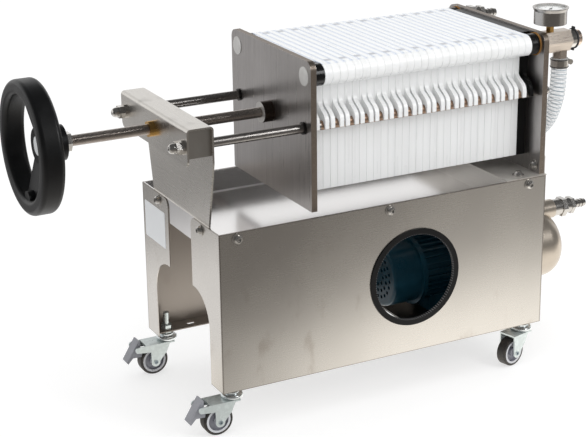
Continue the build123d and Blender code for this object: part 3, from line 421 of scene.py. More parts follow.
def cast_plastic(name, shade, roughness, grain=1300.0, relief=0.08, wear=0.06, gloss=0.5):
    """Moulded plastic or rubber with a fine skin and slightly lighter worn patches."""
    finish = Finish(name, {"Specular IOR Level": gloss})
    skin = finish.noise(grain, 2.0)
    patch = finish.noise(34.0, 4.0)
    lighter = tuple(min(1.0, c * (1.0 + wear * 6) + wear * 0.05) for c in shade)
    finish.give({
        "Base Color": finish.blend(finish.ramp(patch, 0.45, 0.75), shade, lighter),
        "Roughness": roughness + (patch - 0.5) * 0.18 + (skin - 0.5) * 0.08,
    })
    finish.bump(skin, relief, 0.0003)
    return finish.material


def plate_white(settings):
    """White plate plastic: painted shade along each top towards the neighbouring plates, and grey marks
    near the ends of every second, painted as the shade of shallow recesses.
    """
    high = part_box("filter_plates_odd")[1]
    shade = tuple(settings.plate)
    finish = Finish("plate_white", {
        "Subsurface Weight": 0.12,
        "Subsurface Radius": (1.0, 1.0, 0.95),
        "Subsurface Scale": 2.4 * MM,
        "Specular IOR Level": 0.5,
    })
    along = (finish.x - high.x) / PLATE_PITCH + PLATES_BEFORE
    share = finish.maths("FRACT", along)
    pair = finish.maths("FRACT", along * 0.5)
    top = finish.z > high.z - 1.5 * MM
    # Painted shade: the top goes darker and cooler towards each gap between plates.
    stripe = top * finish.ramp(abs(share - 0.5), 0.12, 0.42)
    from_end = abs(abs(finish.y) - MARK_FROM_MIDDLE)
    # Grey marks: the moulded recesses are real, their grey is painted shade.
    mark = top * (abs(pair - 0.25) < 0.20) * finish.ramp(from_end, 5.0 * MM, 6.5 * MM, 1.0, 0.0)
    batch = finish.noise(75.0, 1.0, (1.0, 0.02, 0.004))
    soil = finish.noise(16.0, 4.0)
    body = finish.blend(finish.ramp(batch, 0.3, 0.7), darker(shade, 0.95), shade)
    body = finish.blend(finish.ramp(soil, 0.55, 0.8) * 0.15, body, (0.76, 0.75, 0.71))
    body = finish.blend(stripe, body, tuple(settings.plate_stripe))
    finish.give({
        "Base Color": finish.blend(mark * 0.8, body, tuple(settings.plate_mark)),
        "Roughness": 0.30 + (batch - 0.5) * 0.2 + (soil - 0.5) * 0.1,
    })
    finish.bump(batch, 0.05, 0.0003)
    return finish.material


def rod_steel(settings):
    """Drawn tie rod, dulled brown between the hanging plates."""
    low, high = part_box("filter_plates_odd")
    finish, body, roughness = turned_metal("drawn_rod", tuple(settings.rod), 0.29, 0.10, 1.0, 0.02)
    in_pack = (finish.x > low.x) * (finish.x < high.x)
    finish.give({
        # Browner and rougher between the plates.
        "Base Color": finish.blend(in_pack * 0.8, body, tuple(settings.rod_stain)),
        "Roughness": roughness + in_pack * 0.08,
    })
    return finish.material


def collar_steel(settings):
    """Blackened collar with a bright turned face."""
    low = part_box("thrust_collar")[0]
    finish = Finish("collar_steel", {})
    face = finish.x < low.x + 0.4 * MM
    fine = finish.noise(FINE_LINES, 3.0, (0.3, 1.0, 1.0))
    shade = tuple(settings.collar)
    side = finish.blend(finish.ramp(fine, 0.4, 0.7), shade, darker(shade, 1.6))
    finish.give({
        "Base Color": finish.blend(face, side, tuple(settings.bright)),
        "Metallic": 1.0 - face * 0.4,
        "Roughness": 0.34 + (fine - 0.5) * 0.2,
    })
    finish.bump(fine, 0.06, 0.0002)
    return finish.material


def wheel_place(corner):
    """The middle of a caster's wheel, and how far the caster is turned."""
    low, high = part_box(f"{corner}_wheel_hub")
    return (low + high) / 2, math.radians(CASTER_TURNS[corner])


def fork_zinc(settings, corner):
    """Zinc plated fork under a bright swivel cup, with a bluish rivet on its axle, for one caster."""
    middle, turn = wheel_place(corner)
    finish = Finish(f"{corner}_fork_zinc", {})
    along = (finish.x - middle.x) * math.cos(turn) + (finish.y - middle.y) * math.sin(turn)
    up = finish.z - middle.z
    rivet = along * along + up * up < RIVET_RADIUS * RIVET_RADIUS
    cup = finish.z > FORK_TOP + 0.1 * MM
    spangle = finish.noise(140.0, 4.0)
    shade = tuple(settings.zinc)
    body = finish.blend(finish.ramp(spangle, 0.4, 0.7), darker(shade, 0.86), shade)
    body = finish.blend(cup, body, (0.78, 0.82, 0.83))
    finish.give({
        "Base Color": finish.blend(rivet * 0.85, body, (0.19, 0.24, 0.28)),
        "Metallic": 0.55 + cup * 0.35,
        "Roughness": 0.32 + (spangle - 0.5) * 0.2 - cup * 0.08,
    })
    finish.bump(spangle, 0.04, 0.0003)
    return finish.material


def wheel_plastic(settings, corner):
    """Moulded wheel centre with a painted highlight on its raised ring, for one caster."""
    middle, turn = wheel_place(corner)
    finish = Finish(f"{corner}_wheel_plastic", {})
    out = (finish.x - middle.x) * -math.sin(turn) + (finish.y - middle.y) * math.cos(turn)
    # Painted highlight: the raised ring's face is lighter than the dish.
    ring = abs(abs(out) - WHEEL_HALF) < 0.8 * MM
    patch = finish.noise(90.0, 4.0)
    shade = tuple(settings.wheel)
    body = finish.blend(finish.ramp(patch, 0.4, 0.7), darker(shade, 0.9), shade)
    finish.give({
        "Base Color": finish.blend(ring, body, tuple(settings.wheel_ring)),
        "Roughness": 0.36 + (patch - 0.5) * 0.2,
    })
    finish.bump(patch, 0.05, 0.0003)
    return finish.material


def machined_face(name, shade, metal):
    """Fine turned face that scatters light, as on the port plugs and the hub cap."""
    finish = Finish(name, {"Metallic": metal})
    ring = finish.noise(700.0, 3.0, (1.0, 0.25, 1.0))
    cloud = finish.noise(40.0, 3.0)
    finish.give({
        "Base Color": finish.blend(finish.ramp(cloud, 0.35, 0.7), darker(shade, 0.85), shade),
        "Roughness": 0.36 + (ring - 0.5) * 0.3,
    })
    finish.bump(ring, 0.05, 0.0002)
    return finish.material


def window_rubber(settings):
    """Edging rubber, ribbed finely round the window with painted light and shade on the ribs, and a row of
    light dots along its inner lip as painted glints.
    """
    low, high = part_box("window_trim")
    middle = (low + high) / 2
    inner = (high.z - low.z) / 2 - TRIM_WIDTH
    finish = Finish("window_rubber", {"Specular IOR Level": 0.25})
    across = finish.x - middle.x
    up = finish.z - middle.z
    turn = finish.maths("ARCTAN2", up, across)
    radius = finish.maths("SQRT", across * across + up * up)
    wave = finish.maths("SINE", turn * TRIM_RIBS)
    bead_glint = finish.maths("SINE", turn * TRIM_BEADS)
    lip = abs(radius - inner) < 0.5 * MM
    skin = finish.noise(900.0, 2.0)
    shade = tuple(settings.rubber)
    # Colour goes lighter and darker with the ribs: painted light and shade.
    body = finish.blend(finish.ramp(wave, -1.0, 1.0), darker(shade, 0.7), darker(shade, 1.7))
    finish.give({
        # Light dots along the inner lip: painted glints on its beads.
        "Base Color": finish.blend(lip * finish.ramp(bead_glint, 0.35, 0.8) * 0.6, body, (0.32, 0.32, 0.33)),
        "Roughness": 0.52 + (skin - 0.5) * 0.2,
    })
    finish.bump(wave * 0.5 + skin * 0.4, 0.25, 0.0004)
    return finish.material


def hose_clear(settings):
    """Clear hose, nearly white over a pale helix whose grey-blue is painted shade, from the hose's own rib
    attribute.
    """
    finish = Finish("hose_clear", {"IOR": 1.45, "Specular IOR Level": 0.6})
    rib = finish.add("ShaderNodeAttribute", {"attribute_name": "rib"}, None, "Fac")
    coil_and_shade = finish.ramp(rib, 0.80, 0.97)
    cloud = finish.noise(70.0, 3.0)
    finish.give({
        # The ribs are more opaque, and their grey-blue is painted shade.
        "Base Color": finish.blend(coil_and_shade, tuple(settings.hose_wall), tuple(settings.hose_rib)),
        "Roughness": 0.12 + cloud * 0.16,
        "Alpha": 0.42 + coil_and_shade * 0.45,
    })
    return finish.material


def glass(name):
    """Thin clear glass."""
    finish = Finish(name, {"Base Color": (0.93, 0.96, 0.97), "IOR": 1.45, "Specular IOR Level": 0.7})
    haze = finish.noise(50.0, 3.0)
    finish.give({"Roughness": 0.03 + haze * 0.04, "Alpha": 0.07 + haze * 0.05})
    return finish.material


def tyre_rubber(settings):
    """Caster tyre: dark walls, a dusty brown tread."""
    shade = tuple(settings.tyre)
    finish = Finish("tyre_rubber", {})
    dust = finish.noise(160.0, 4.0)
    skin = finish.noise(1100.0, 2.0)
    low_dust = finish.ramp(finish.z, 0.0, 45 * MM, 1.0, 0.4)
    finish.give({
        "Base Color": finish.blend(finish.ramp(dust, 0.4, 0.75) * low_dust, shade, (0.075, 0.062, 0.05)),
        "Roughness": 0.55 + (dust - 0.5) * 0.25,
    })
    finish.bump(skin, 0.12, 0.0003)
    return finish.material


def linked(name, data):
    """A new object in the scene."""
    piece = bpy.data.objects.new(name, data)
    bpy.context.scene.collection.objects.link(piece)
    return piece


def final_mesh(piece):
    """The mesh that an object's curve, text or modifier makes."""
    graph = bpy.context.evaluated_depsgraph_get()
    return bpy.data.meshes.new_from_object(piece.evaluated_get(graph))


def drawn(name, data):
    """Points and faces that a curve or a text draws."""
    piece = linked(name, data)
    mesh = final_mesh(piece)
    points = [v.co.copy() for v in mesh.vertices]
    faces = [tuple(face.vertices) for face in mesh.polygons]
    bpy.data.objects.remove(piece)
    bpy.data.meshes.remove(mesh)
    return points, faces


def mesh_piece(name, points, faces, material, smooth=True, merge=True):
    """An object at the origin from points in metres and faces; a merged one also gets outward normals."""
    mesh = bpy.data.meshes.new(name)
    mesh.from_pydata([tuple(p) for p in points], [], faces)
    mesh.validate()
    if merge:
        tidy_mesh(mesh)
    mesh.materials.append(material)
    for face in mesh.polygons:
        face.use_smooth = smooth
    return linked(name, mesh)


def tidy_mesh(mesh):
    """Merge doubles and turn the faces outwards."""
    work = bmesh.new()
    work.from_mesh(mesh)
    bmesh.ops.remove_doubles(work, verts=work.verts, dist=1e-6)
    bmesh.ops.recalc_face_normals(work, faces=work.faces)
    work.to_mesh(mesh)
    work.free()


def dress(piece, body, stands_for=()):
    """Fix a finished piece to its body and hide the solids that it stands in for."""
    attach(piece, body)
    if stands_for:
        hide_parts(*stands_for)


def rings_mesh(rings):
    """Points and faces of a closed skin through rings of equal length, capped at both ends."""
    count = len(rings[0])
    points = [p for ring in rings for p in ring]
    faces = []
    for i in range(len(rings) - 1):
        for j in range(count):
            k = (j + 1) % count
            faces.append((i * count + j, i * count + k, (i + 1) * count + k, (i + 1) * count + j))
    faces.append(tuple(reversed(range(count))))
    faces.append(tuple((len(rings) - 1) * count + j for j in range(count)))
    return points, faces


def hoop(section, centre, axis, segments=48):
    """Points and faces of a ring about an axis, from a closed section of (along, radius) in millimetres."""
    axis = Vector(axis).normalized()
    side = axis.orthogonal().normalized()
    cross = axis.cross(side)
    count = len(section)
    points = []
    faces = []
    for j in range(segments):
        turn = math.tau * j / segments
        outward = side * math.cos(turn) + cross * math.sin(turn)
        points += [centre + (axis * along + outward * radius) * MM for along, radius in section]
        following = (j + 1) % segments
        for k in range(count):
            m = (k + 1) % count
            faces.append((j * count + k, j * count + m, following * count + m, following * count + k))
    return points, faces


def round_section(along, radius, wire, sides=10):
    """A round section for a hoop."""
    turns = [math.tau * k / sides for k in range(sides)]
    return [(along + wire * math.cos(t), radius + wire * math.sin(t)) for t in turns]


def block(low, high):
    """Points and faces of a box between two corners."""
    points = [Vector((x, y, z)) for x in (low.x, high.x) for y in (low.y, high.y) for z in (low.z, high.z)]
    return points, [(0, 1, 3, 2), (4, 6, 7, 5), (0, 4, 5, 1), (2, 3, 7, 6), (0, 2, 6, 4), (1, 5, 7, 3)]


def merged(shapes):
    """Several sets of points and faces as one."""
    points = []
    faces = []
    for shape_points, shape_faces in shapes:
        start = len(points)
        points += shape_points
        faces += [tuple(start + i for i in face) for face in shape_faces]
    return points, faces


HOSE_ROUTE = [
    (342.0, -117.0, 526.0),
    (342.0, -117.0, 476.83),
    (342.0, -107.96, 441.7),
    (342.0, -88.19, 406.58),
    (342.0, -48.07, 377.07),
    (345.96, -15.87, 348.97),
    (356.08, -1.74, 306.82),
    (364.0, -4.0, 245.0),
]
HOSE_DIAMETER = 27.0 * MM
CLAMP_FROM_END = 8.5 * MM
CLAMP_EDGE = 6.0
CLAMP_RADIUS = 15.0
CLAMP_WIRE = 0.8
HOSE_SAMPLES = 96
HOSE_SEGMENTS = 28


def hose_line():
    """Points along the hose's smooth line, read from a curve through its route."""
    data = bpy.data.curves.new("hose_line", "CURVE")
    data.dimensions = "3D"
    data.resolution_u = HOSE_SAMPLES
    spline = data.splines.new("NURBS")
    spline.points.add(len(HOSE_ROUTE) - 1)
    for point, place in zip(spline.points, HOSE_ROUTE):
        point.co = (*at(*place), 1.0)
    spline.order_u = 3
    spline.use_endpoint_u = True
    return drawn("hose_line", data)[0]


def frames_along(points):
    """Two cross directions at each point of a line, turning as little as possible."""
    rows = []
    side = Vector((1.0, 0.0, 0.0))
    for i in range(len(points)):
        ahead = points[min(i + 1, len(points) - 1)] - points[max(i - 1, 0)]
        ahead.normalize()
        side = (side - ahead * side.dot(ahead)).normalized()
        rows.append((side, ahead.cross(side)))
    return rows


def clamp_hoops():
    """Two wires round each hose clamp."""
    hoops = []
    for end, neighbour in ((0, 1), (-1, -2)):
        start = at(*HOSE_ROUTE[end])
        along = (at(*HOSE_ROUTE[neighbour]) - start).normalized()
        centre = start + along * CLAMP_FROM_END
        for edge in (-CLAMP_EDGE, CLAMP_EDGE):
            hoops.append(hoop(round_section(edge, CLAMP_RADIUS, CLAMP_WIRE), centre, along))
    return hoops


class PRESS_OT_camera(bpy.types.Operator):
    """Set the camera where the photograph was taken from"""

    bl_idname = "filter_press.camera"
    bl_label = "Camera"

    def execute(self, context):
        studio = context.scene.press_studio
        turn = studio.azimuth
        level = math.cos(studio.elevation)
        back = Vector((math.sin(turn) * level, -math.cos(turn) * level, math.sin(studio.elevation)))
        right = Vector((math.cos(turn), math.sin(turn), 0.0))
        up = back.cross(right)
        roll = studio.roll
        tilted_right = right * math.cos(roll) + up * math.sin(roll)
        tilted_up = up * math.cos(roll) - right * math.sin(roll)
        place = tilted_right * studio.across + tilted_up * studio.above + back * studio.distance
        place.x += ROW_SHIFT
        data = bpy.data.cameras.new("camera")
        data.lens = studio.lens
        data.sensor_width = 36.0
        camera = linked("camera", data)
        turned = Matrix((tilted_right, tilted_up, back)).transposed().to_4x4()
        camera.matrix_world = Matrix.Translation(place) @ turned
        context.scene.camera = camera
        return {"FINISHED"}


class PRESS_OT_hose(bpy.types.Operator):
    """Make the clear ribbed hose from the manifold down to the pump"""

    bl_idname = "filter_press.hose"
    bl_label = "Clear hose"

    def execute(self, context):
        sizes = context.scene.press_pieces
        points = hose_line()
        travelled = 0.0
        rings = []
        ribs = []
        for i, (point, (side, cross)) in enumerate(zip(points, frames_along(points))):
            if i:
                travelled += (point - points[i - 1]).length
            ring = []
            for j in range(HOSE_SEGMENTS):
                turn = math.tau * j / HOSE_SEGMENTS
                rib = 0.5 + 0.5 * math.cos(math.tau * travelled / sizes.hose_rib_pitch + turn)
                radius = HOSE_DIAMETER / 2 - sizes.hose_rib_depth * (1.0 - rib)
                ring.append(point + (side * math.cos(turn) + cross * math.sin(turn)) * radius)
                ribs.append(rib)
            rings.append(ring)
        clear = hose_clear(context.scene.press_finishes)
        hose = mesh_piece("clear_hose", *rings_mesh(rings), clear, merge=False)
        attribute = hose.data.attributes.new("rib", "FLOAT", "POINT")
        attribute.data.foreach_set("value", ribs)
        dress(hose, "frame", ("pressure_hose",))
        wires = mesh_piece("clamp_wires", *merged(clamp_hoops()), cast_plastic("clamp_wire", INK, 0.3))
        dress(wires, "frame")
        return {"FINISHED"}


def paint_node(piece, material):
    """Put one material on a solid in place of what it came with."""
    piece.data.materials.clear()
    piece.data.materials.append(material)


class PRESS_OT_finishes(bpy.types.Operator):
    """Give every solid of the frame its own finish"""

    bl_idname = "filter_press.finishes"
    bl_label = "Finishes"

    def execute(self, context):
        colours = context.scene.press_finishes
        sheet = tuple(colours.sheet)
        bright = tuple(colours.bright)
        brass = tuple(colours.brass)
        # Bracket and beam take the sheet colour made lighter, the bracket also less metallic: painted
        # light.
        bracket = steel("bracket_sheet", darker(sheet, 1.1), 0.32, "y", 0.06, 0.08, 0.1, metal=0.65)
        beam = steel("beam_sheet", darker(sheet, 1.06), 0.28, "y", 0.08, 0.06, 0.12)
        # End caps and pump shelf take the sheet colour darkened as painted shade; the shelf nearly black
        # for the shade inside the cart.
        cap = steel("cap_sheet", darker(sheet, 0.8), 0.36, "z", 0.08, 0.12, 0.2)
        shelf = steel("shelf_sheet", darker(sheet, 0.22), 0.42, "y", 0.08, 0.12, 0.2)
        turned = polished("turned_steel", bright, 0.17)
        chrome = polished("chrome", bright, 0.10, 0.03)
        pump = polished("pump_polish", tuple(colours.pump), 0.31, 0.05, 0.82, 0.006)
        tail = polished("tail_steel", darker(bright, 0.82), 0.20, 0.08, 0.96)
        hexbar = steel("drawn_hexagon", tuple(colours.hexagon), 0.30, "x", 0.24, 0.08, 0.1, 0.03)
        tyre = tyre_rubber(colours)
        pedal = cast_plastic("pedal_plastic", tuple(colours.pedal), 0.42, 1100.0, 0.10, 0.03)
        rubber = cast_plastic("seal_rubber", tuple(colours.rubber), 0.24, 800.0, 0.05, 0.05)
        black = cast_plastic("black_plastic", tuple(colours.black), 0.40, 1400.0, 0.12, 0.05)
        paint = cast_plastic("motor_paint", tuple(colours.paint), 0.30, 700.0, 0.10, 0.06, 0.22)
        plate = plate_white(colours)
        given = {
            panel_steel("front_sheet", "front_side_panel", sheet): ["front_side_panel"],
            panel_steel("rear_sheet", "rear_side_panel", sheet): ["rear_side_panel"],
            tray_steel(tuple(colours.tray)): ["drip_tray"],
            bracket: ["head_bracket"],
            beam: ["press_upright"],
            cap: ["beam_end_caps"],
            shelf: ["pump_shelf"],
            turned: ["tie_rod_nuts", "jam_nut"],
            tail: ["outlet_tail", "suction_tail"],
            polished("bush_steel", (0.06, 0.057, 0.055), 0.30, 0.12): ["rod_bushes"],
            polished("spindle_steel", tuple(colours.screw), 0.24, 0.10): ["spindle"],
            collar_steel(colours): ["thrust_collar"],
            machined_face("plug_face", (0.80, 0.79, 0.77), 0.45): ["port_plugs"],
            machined_face("cap_face", (0.82, 0.84, 0.85), 0.10): ["hub_cap"],
            rod_steel(colours): ["front_tie_rod", "rear_tie_rod"],
            polished("gauge_satin", (0.46, 0.44, 0.42), 0.25, 0.05): ["gauge_case"],
            chrome: ["manifold_plug_ring"],
            polished("clamp_band", (0.60, 0.57, 0.53), 0.22, 0.12): ["hose_clamps"],
            pump: ["pump_body"],
            hexbar: ["inlet_manifold"],
            polished("nut_brass", brass, 0.22, 0.15): ["spindle_nut", "gauge_brass"],
            polished("disc_brass", tuple(colours.rose_brass), 0.20, 0.08): ["manifold_plug_disc"],
            plate: ["filter_plates_odd", "filter_plates_even", "moving_end_plate"],
            black: ["fixed_end_plate", "handwheel"],
            rubber: ["fixed_port_seals", "moving_port_seals"],
            window_rubber(colours): ["window_trim"],
            cast_plastic("seal_fibre", tuple(colours.fibre), 0.6, 700.0, 0.2, 0.06): [
                "fixed_seal_rings", "moving_seal_rings"],
            paint: ["motor_body", "fan_cowl"],
            cast_plastic("dial_card", (0.95, 0.95, 0.94), 0.5, 600.0, 0.02, 0.0): ["gauge_dial"],
            glass("dial_glass"): ["gauge_glass"],
            polished("stud_zinc", tuple(colours.zinc), 0.28, 0.10, 0.8): ["caster_studs"],
            tyre: [f"{corner}_tyre" for corner in CASTER_TURNS],
            pedal: ["left_front_pedal", "left_rear_pedal"],
            head_steel("moving_head_steel", "moving_head", colours): ["moving_head"],
            head_steel("fixed_head_steel", "fixed_head", colours): ["fixed_head"],
            bpy.data.materials["hose_clear"]: ["pressure_hose"],
        }
        for corner in CASTER_TURNS:
            given[wheel_plastic(colours, corner)] = [f"{corner}_wheel_hub"]
            given[fork_zinc(colours, corner)] = [f"{corner}_fork"]
        for material, nodes in given.items():
            for name in nodes:
                paint_node(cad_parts[name], material)
        bare = set(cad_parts) - {name for nodes in given.values() for name in nodes}
        if bare:
            raise RuntimeError(f"no finish for {sorted(bare)}")
        return {"FINISHED"}


THREAD_STARTS = 2
THREAD_SEGMENTS = 32
ROWS_PER_LEAD = 12
PLAIN_ROWS = 30


class PRESS_OT_spindle(bpy.types.Operator):
    """Cut the spindle's thread"""

    bl_idname = "filter_press.spindle"
    bl_label = "Threaded spindle"

    def execute(self, context):
        sizes = context.scene.press_pieces
        low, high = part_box("spindle")
        axis = (low + high) / 2
        crest = (high.z - low.z) / 2
        rows = int(ROWS_PER_LEAD * (high.x - low.x) / sizes.thread_lead)
        rings = []
        for i in range(rows + 1):
            x = low.x + (high.x - low.x) * i / rows
            fade = min(1.0, i / PLAIN_ROWS, (rows - i) / PLAIN_ROWS)
            ring = []
            for j in range(THREAD_SEGMENTS):
                turn = math.tau * j / THREAD_SEGMENTS
                wave = math.cos(THREAD_STARTS * (math.tau * (x - low.x) / sizes.thread_lead + turn))
                cut = min(1.0, max(0.0, 0.35 - 0.9 * wave))
                radius = crest - sizes.thread_depth * cut * fade
                ring.append(Vector((x, axis.y + radius * math.cos(turn), axis.z + radius * math.sin(turn))))
            rings.append(ring)
        spindle = mesh_piece("threaded_spindle", *rings_mesh(rings), bpy.data.materials["spindle_steel"])
        dress(spindle, "screw", ("spindle",))
        return {"FINISHED"}


def node_tree(name, inputs):
    """An empty geometry tree with a geometry going in and out, and named sizes."""
    tree = bpy.data.node_groups.new(name, "GeometryNodeTree")
    tree.interface.new_socket("Geometry", in_out="INPUT", socket_type="NodeSocketGeometry")
    for label in inputs:
        tree.interface.new_socket(label, in_out="INPUT", socket_type="NodeSocketFloat")
    tree.interface.new_socket("Geometry", in_out="OUTPUT", socket_type="NodeSocketGeometry")
    network = Network(tree)
    entry = network.add("NodeGroupInput")
    sockets = {s.name: Signal(network, s) for s in entry.socket.node.outputs if s.name}
    return network, sockets


def place_points(name, places):
    """A mesh of loose points, each with the direction that its copy faces."""
    spots, ways = zip(*places)
    mesh = bpy.data.meshes.new(name)
    mesh.from_pydata([tuple(spot) for spot in spots], [], [])
    facing = mesh.attributes.new("facing", "FLOAT_VECTOR", "POINT")
    facing.data.foreach_set("vector", [part for way in ways for part in way])
    return linked(name, mesh)


def finish_tree(network, points, unit, material):
    """Copy a unit onto points, each facing its own way, and end the tree."""
    facing = network.add("GeometryNodeInputNamedAttribute", {"data_type": "FLOAT_VECTOR"},
                         {"Name": "facing"})
    turn = network.add("FunctionNodeAlignRotationToVector", {"axis": "Z"}, {"Vector": facing})
    copies = network.add("GeometryNodeInstanceOnPoints", None,
                         {"Points": points, "Instance": unit, "Rotation": turn})
    real = network.add("GeometryNodeRealizeInstances", None, {0: copies})
    made = network.add("GeometryNodeSetMaterial", None, {"Geometry": real, "Material": material})
    exit_node = network.tree.nodes.new("NodeGroupOutput")
    network.tree.links.new(made.socket, exit_node.inputs[0])


SHARP_FROM = math.radians(40)


def grow(piece, tree, values):
    """Run a tree on an object with its named sizes and leave a plain mesh."""
    modifier = piece.modifiers.new("grow", "NODES")
    modifier.node_group = tree
    for item in tree.interface.items_tree:
        if item.in_out == "INPUT" and item.name in values:
            modifier[item.identifier] = values[item.name]
    mesh = final_mesh(piece)
    piece.modifiers.remove(modifier)
    old = piece.data
    piece.data = mesh
    bpy.data.meshes.remove(old)
    tidy_mesh(mesh)
    for face in mesh.polygons:
        face.use_smooth = True
    mesh.set_sharp_from_angle(angle=SHARP_FROM)


SCREW_SIDES = 32
WASHER_HEIGHT = 1.2 * MM
SHOULDER_REACH = 0.44
SHOULDER_HEIGHT = 0.55
CROWN_REACH = 0.28
CROWN_HEIGHT = 0.45
SOCKET_REACH = 0.577
SOCKET_DEPTH = 1.2


def screw_tree(material):
    """Button screw with a hexagon socket on a flat washer."""
    labels = ("Washer Diameter", "Head Diameter", "Head Height", "Socket Width")
    network, size = node_tree("socket_screw", labels)
    head = size["Head Diameter"]
    height = size["Head Height"]
    washer = network.add("GeometryNodeMeshCylinder", None, {
        "Vertices": SCREW_SIDES, "Radius": size["Washer Diameter"] * 0.5, "Depth": WASHER_HEIGHT}, "Mesh")
    lower = network.add("GeometryNodeMeshCone", None, {
        "Vertices": SCREW_SIDES, "Radius Bottom": head * 0.5, "Radius Top": head * SHOULDER_REACH,
        "Depth": height * SHOULDER_HEIGHT}, "Mesh")
    upper = network.add("GeometryNodeMeshCone", None, {
        "Vertices": SCREW_SIDES, "Radius Bottom": head * SHOULDER_REACH, "Radius Top": head * CROWN_REACH,
        "Depth": height * CROWN_HEIGHT}, "Mesh")
    upper = lifted(network, upper, height * SHOULDER_HEIGHT)
    socket = network.add("GeometryNodeMeshCylinder", None, {
        "Vertices": 6, "Radius": size["Socket Width"] * SOCKET_REACH,
        "Depth": height * SOCKET_DEPTH}, "Mesh")
    socket = lifted(network, socket, height)
    cut = network.tree.nodes.new("GeometryNodeMeshBoolean")
    cut.operation = "DIFFERENCE"
    network.tree.links.new(upper.socket, cut.inputs["Mesh 1"])
    network.tree.links.new(socket.socket, cut.inputs["Mesh 2"])
    top = Signal(network, cut.outputs["Mesh"])
    body = lifted(network, joined(network, lower, top), WASHER_HEIGHT / 2)
    unit = joined(network, washer, body)
    finish_tree(network, size["Geometry"], unit, material)
    return network.tree


def lifted(network, shape, height):
    """A shape moved up its own axis."""
    rise = network.add("ShaderNodeCombineXYZ", None, {2: height})
    return network.add("GeometryNodeTransform", None, {"Geometry": shape, "Translation": rise})


def joined(network, *shapes):
    """Several shapes in one."""
    node = network.tree.nodes.new("GeometryNodeJoinGeometry")
    for shape in shapes:
        network.tree.links.new(shape.socket, node.inputs[0])
    return Signal(network, node.outputs[0])


SCREW_GAP = 0.6 * MM
PANEL_SCREWS = (-269, 0, 267)
PANEL_SCREW_HEIGHT = 326.5
FLANGE_SCREW_FROM_MIDDLE = 83
FLANGE_SCREW_HEIGHT = 325.5
HEAD_SCREW_FROM_MIDDLE = 129
HEAD_SCREW_HEIGHT = 351.5
TRAY_SCREW = 258
TRAY_SCREW_FROM_MIDDLE = 130
BRACKET_THICKNESS = 1.5 * MM


class PRESS_OT_screws(bpy.types.Operator):
    """Set the screws that hold the cart and the fixed head together"""

    bl_idname = "filter_press.screws"
    bl_label = "Panel screws"

    def execute(self, context):
        sizes = context.scene.press_pieces
        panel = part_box("front_side_panel")
        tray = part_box("drip_tray")
        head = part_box("fixed_head")
        places = []
        for x in PANEL_SCREWS:
            front = at(x, 0, PANEL_SCREW_HEIGHT)
            front.y = panel[0].y - SCREW_GAP
            places.append((front, (0, -1, 0)))
            places.append((Vector((front.x, -front.y, front.z)), (0, 1, 0)))
        for way in (-1, 1):
            for side in (-1, 1):
                end = at(0, FLANGE_SCREW_FROM_MIDDLE * side, FLANGE_SCREW_HEIGHT)
                end.x = (panel[0].x - SCREW_GAP) if way < 0 else (panel[1].x + SCREW_GAP)
                places.append((end, (way, 0, 0)))
        for side in (-1, 1):
            low_screw = at(0, HEAD_SCREW_FROM_MIDDLE * side, HEAD_SCREW_HEIGHT)
            low_screw.x = head[0].x - SCREW_GAP
            places.append((low_screw, (-1, 0, 0)))
            top_screw = at(TRAY_SCREW, TRAY_SCREW_FROM_MIDDLE * side, 0)
            top_screw.z = tray[1].z + BRACKET_THICKNESS + SCREW_GAP
            places.append((top_screw, (0, 0, 1)))
        screws = place_points("panel_screws", places)
        shade = darker(context.scene.press_finishes.bright, 0.9)
        metal = polished("screw_steel", shade, 0.22, 0.08, 0.95)
        grow(screws, screw_tree(metal), {
            "Washer Diameter": sizes.washer, "Head Diameter": sizes.screw_head,
            "Head Height": sizes.screw_rise, "Socket Width": sizes.socket})
        dress(screws, "frame")
        return {"FINISHED"}


def tick_tree(material):
    """Thin round ticks that lie along the directions of their points."""
    network, size = node_tree("dial_tick", ("Tick Length", "Tick Width"))
    tick = network.add("GeometryNodeMeshCylinder", None, {
        "Vertices": 8, "Radius": size["Tick Width"] * 0.5, "Depth": size["Tick Length"]}, "Mesh")
    finish_tree(network, size["Geometry"], tick, material)
    return network.tree


def numeral(sign, centre, height):
    """Points and faces of one flat number, centred on a place and facing up."""
    data = bpy.data.curves.new("numeral", "FONT")
    data.body = sign
    data.size = height
    data.align_x = "CENTER"
    data.align_y = "CENTER"
    points, faces = drawn("numeral", data)
    return [centre + p for p in points], faces


DIAL_START = 225.0
DIAL_SWEEP = 270.0
DIAL_STEPS = 30
DIAL_VALUES = 7
TICK_REACH = 0.84
NUMBER_REACH = 0.62
NUMBER_HEIGHT = 5.0 * MM
NUMBER_RISE = 0.15 * MM
NEEDLE_STEP = 1
NEEDLE_REACH = 0.76
NEEDLE_TAIL = 6.0 * MM
NEEDLE_RISE = 0.5 * MM
NEEDLE_THICKNESS = 0.3 * MM
NEEDLE_BACK = 1.2 * MM
NEEDLE_TIP = 0.3 * MM
NEEDLE_HUB = [(0.3, 0.0), (0.3, 2.6), (1.0, 2.2), (1.2, 0.0)]


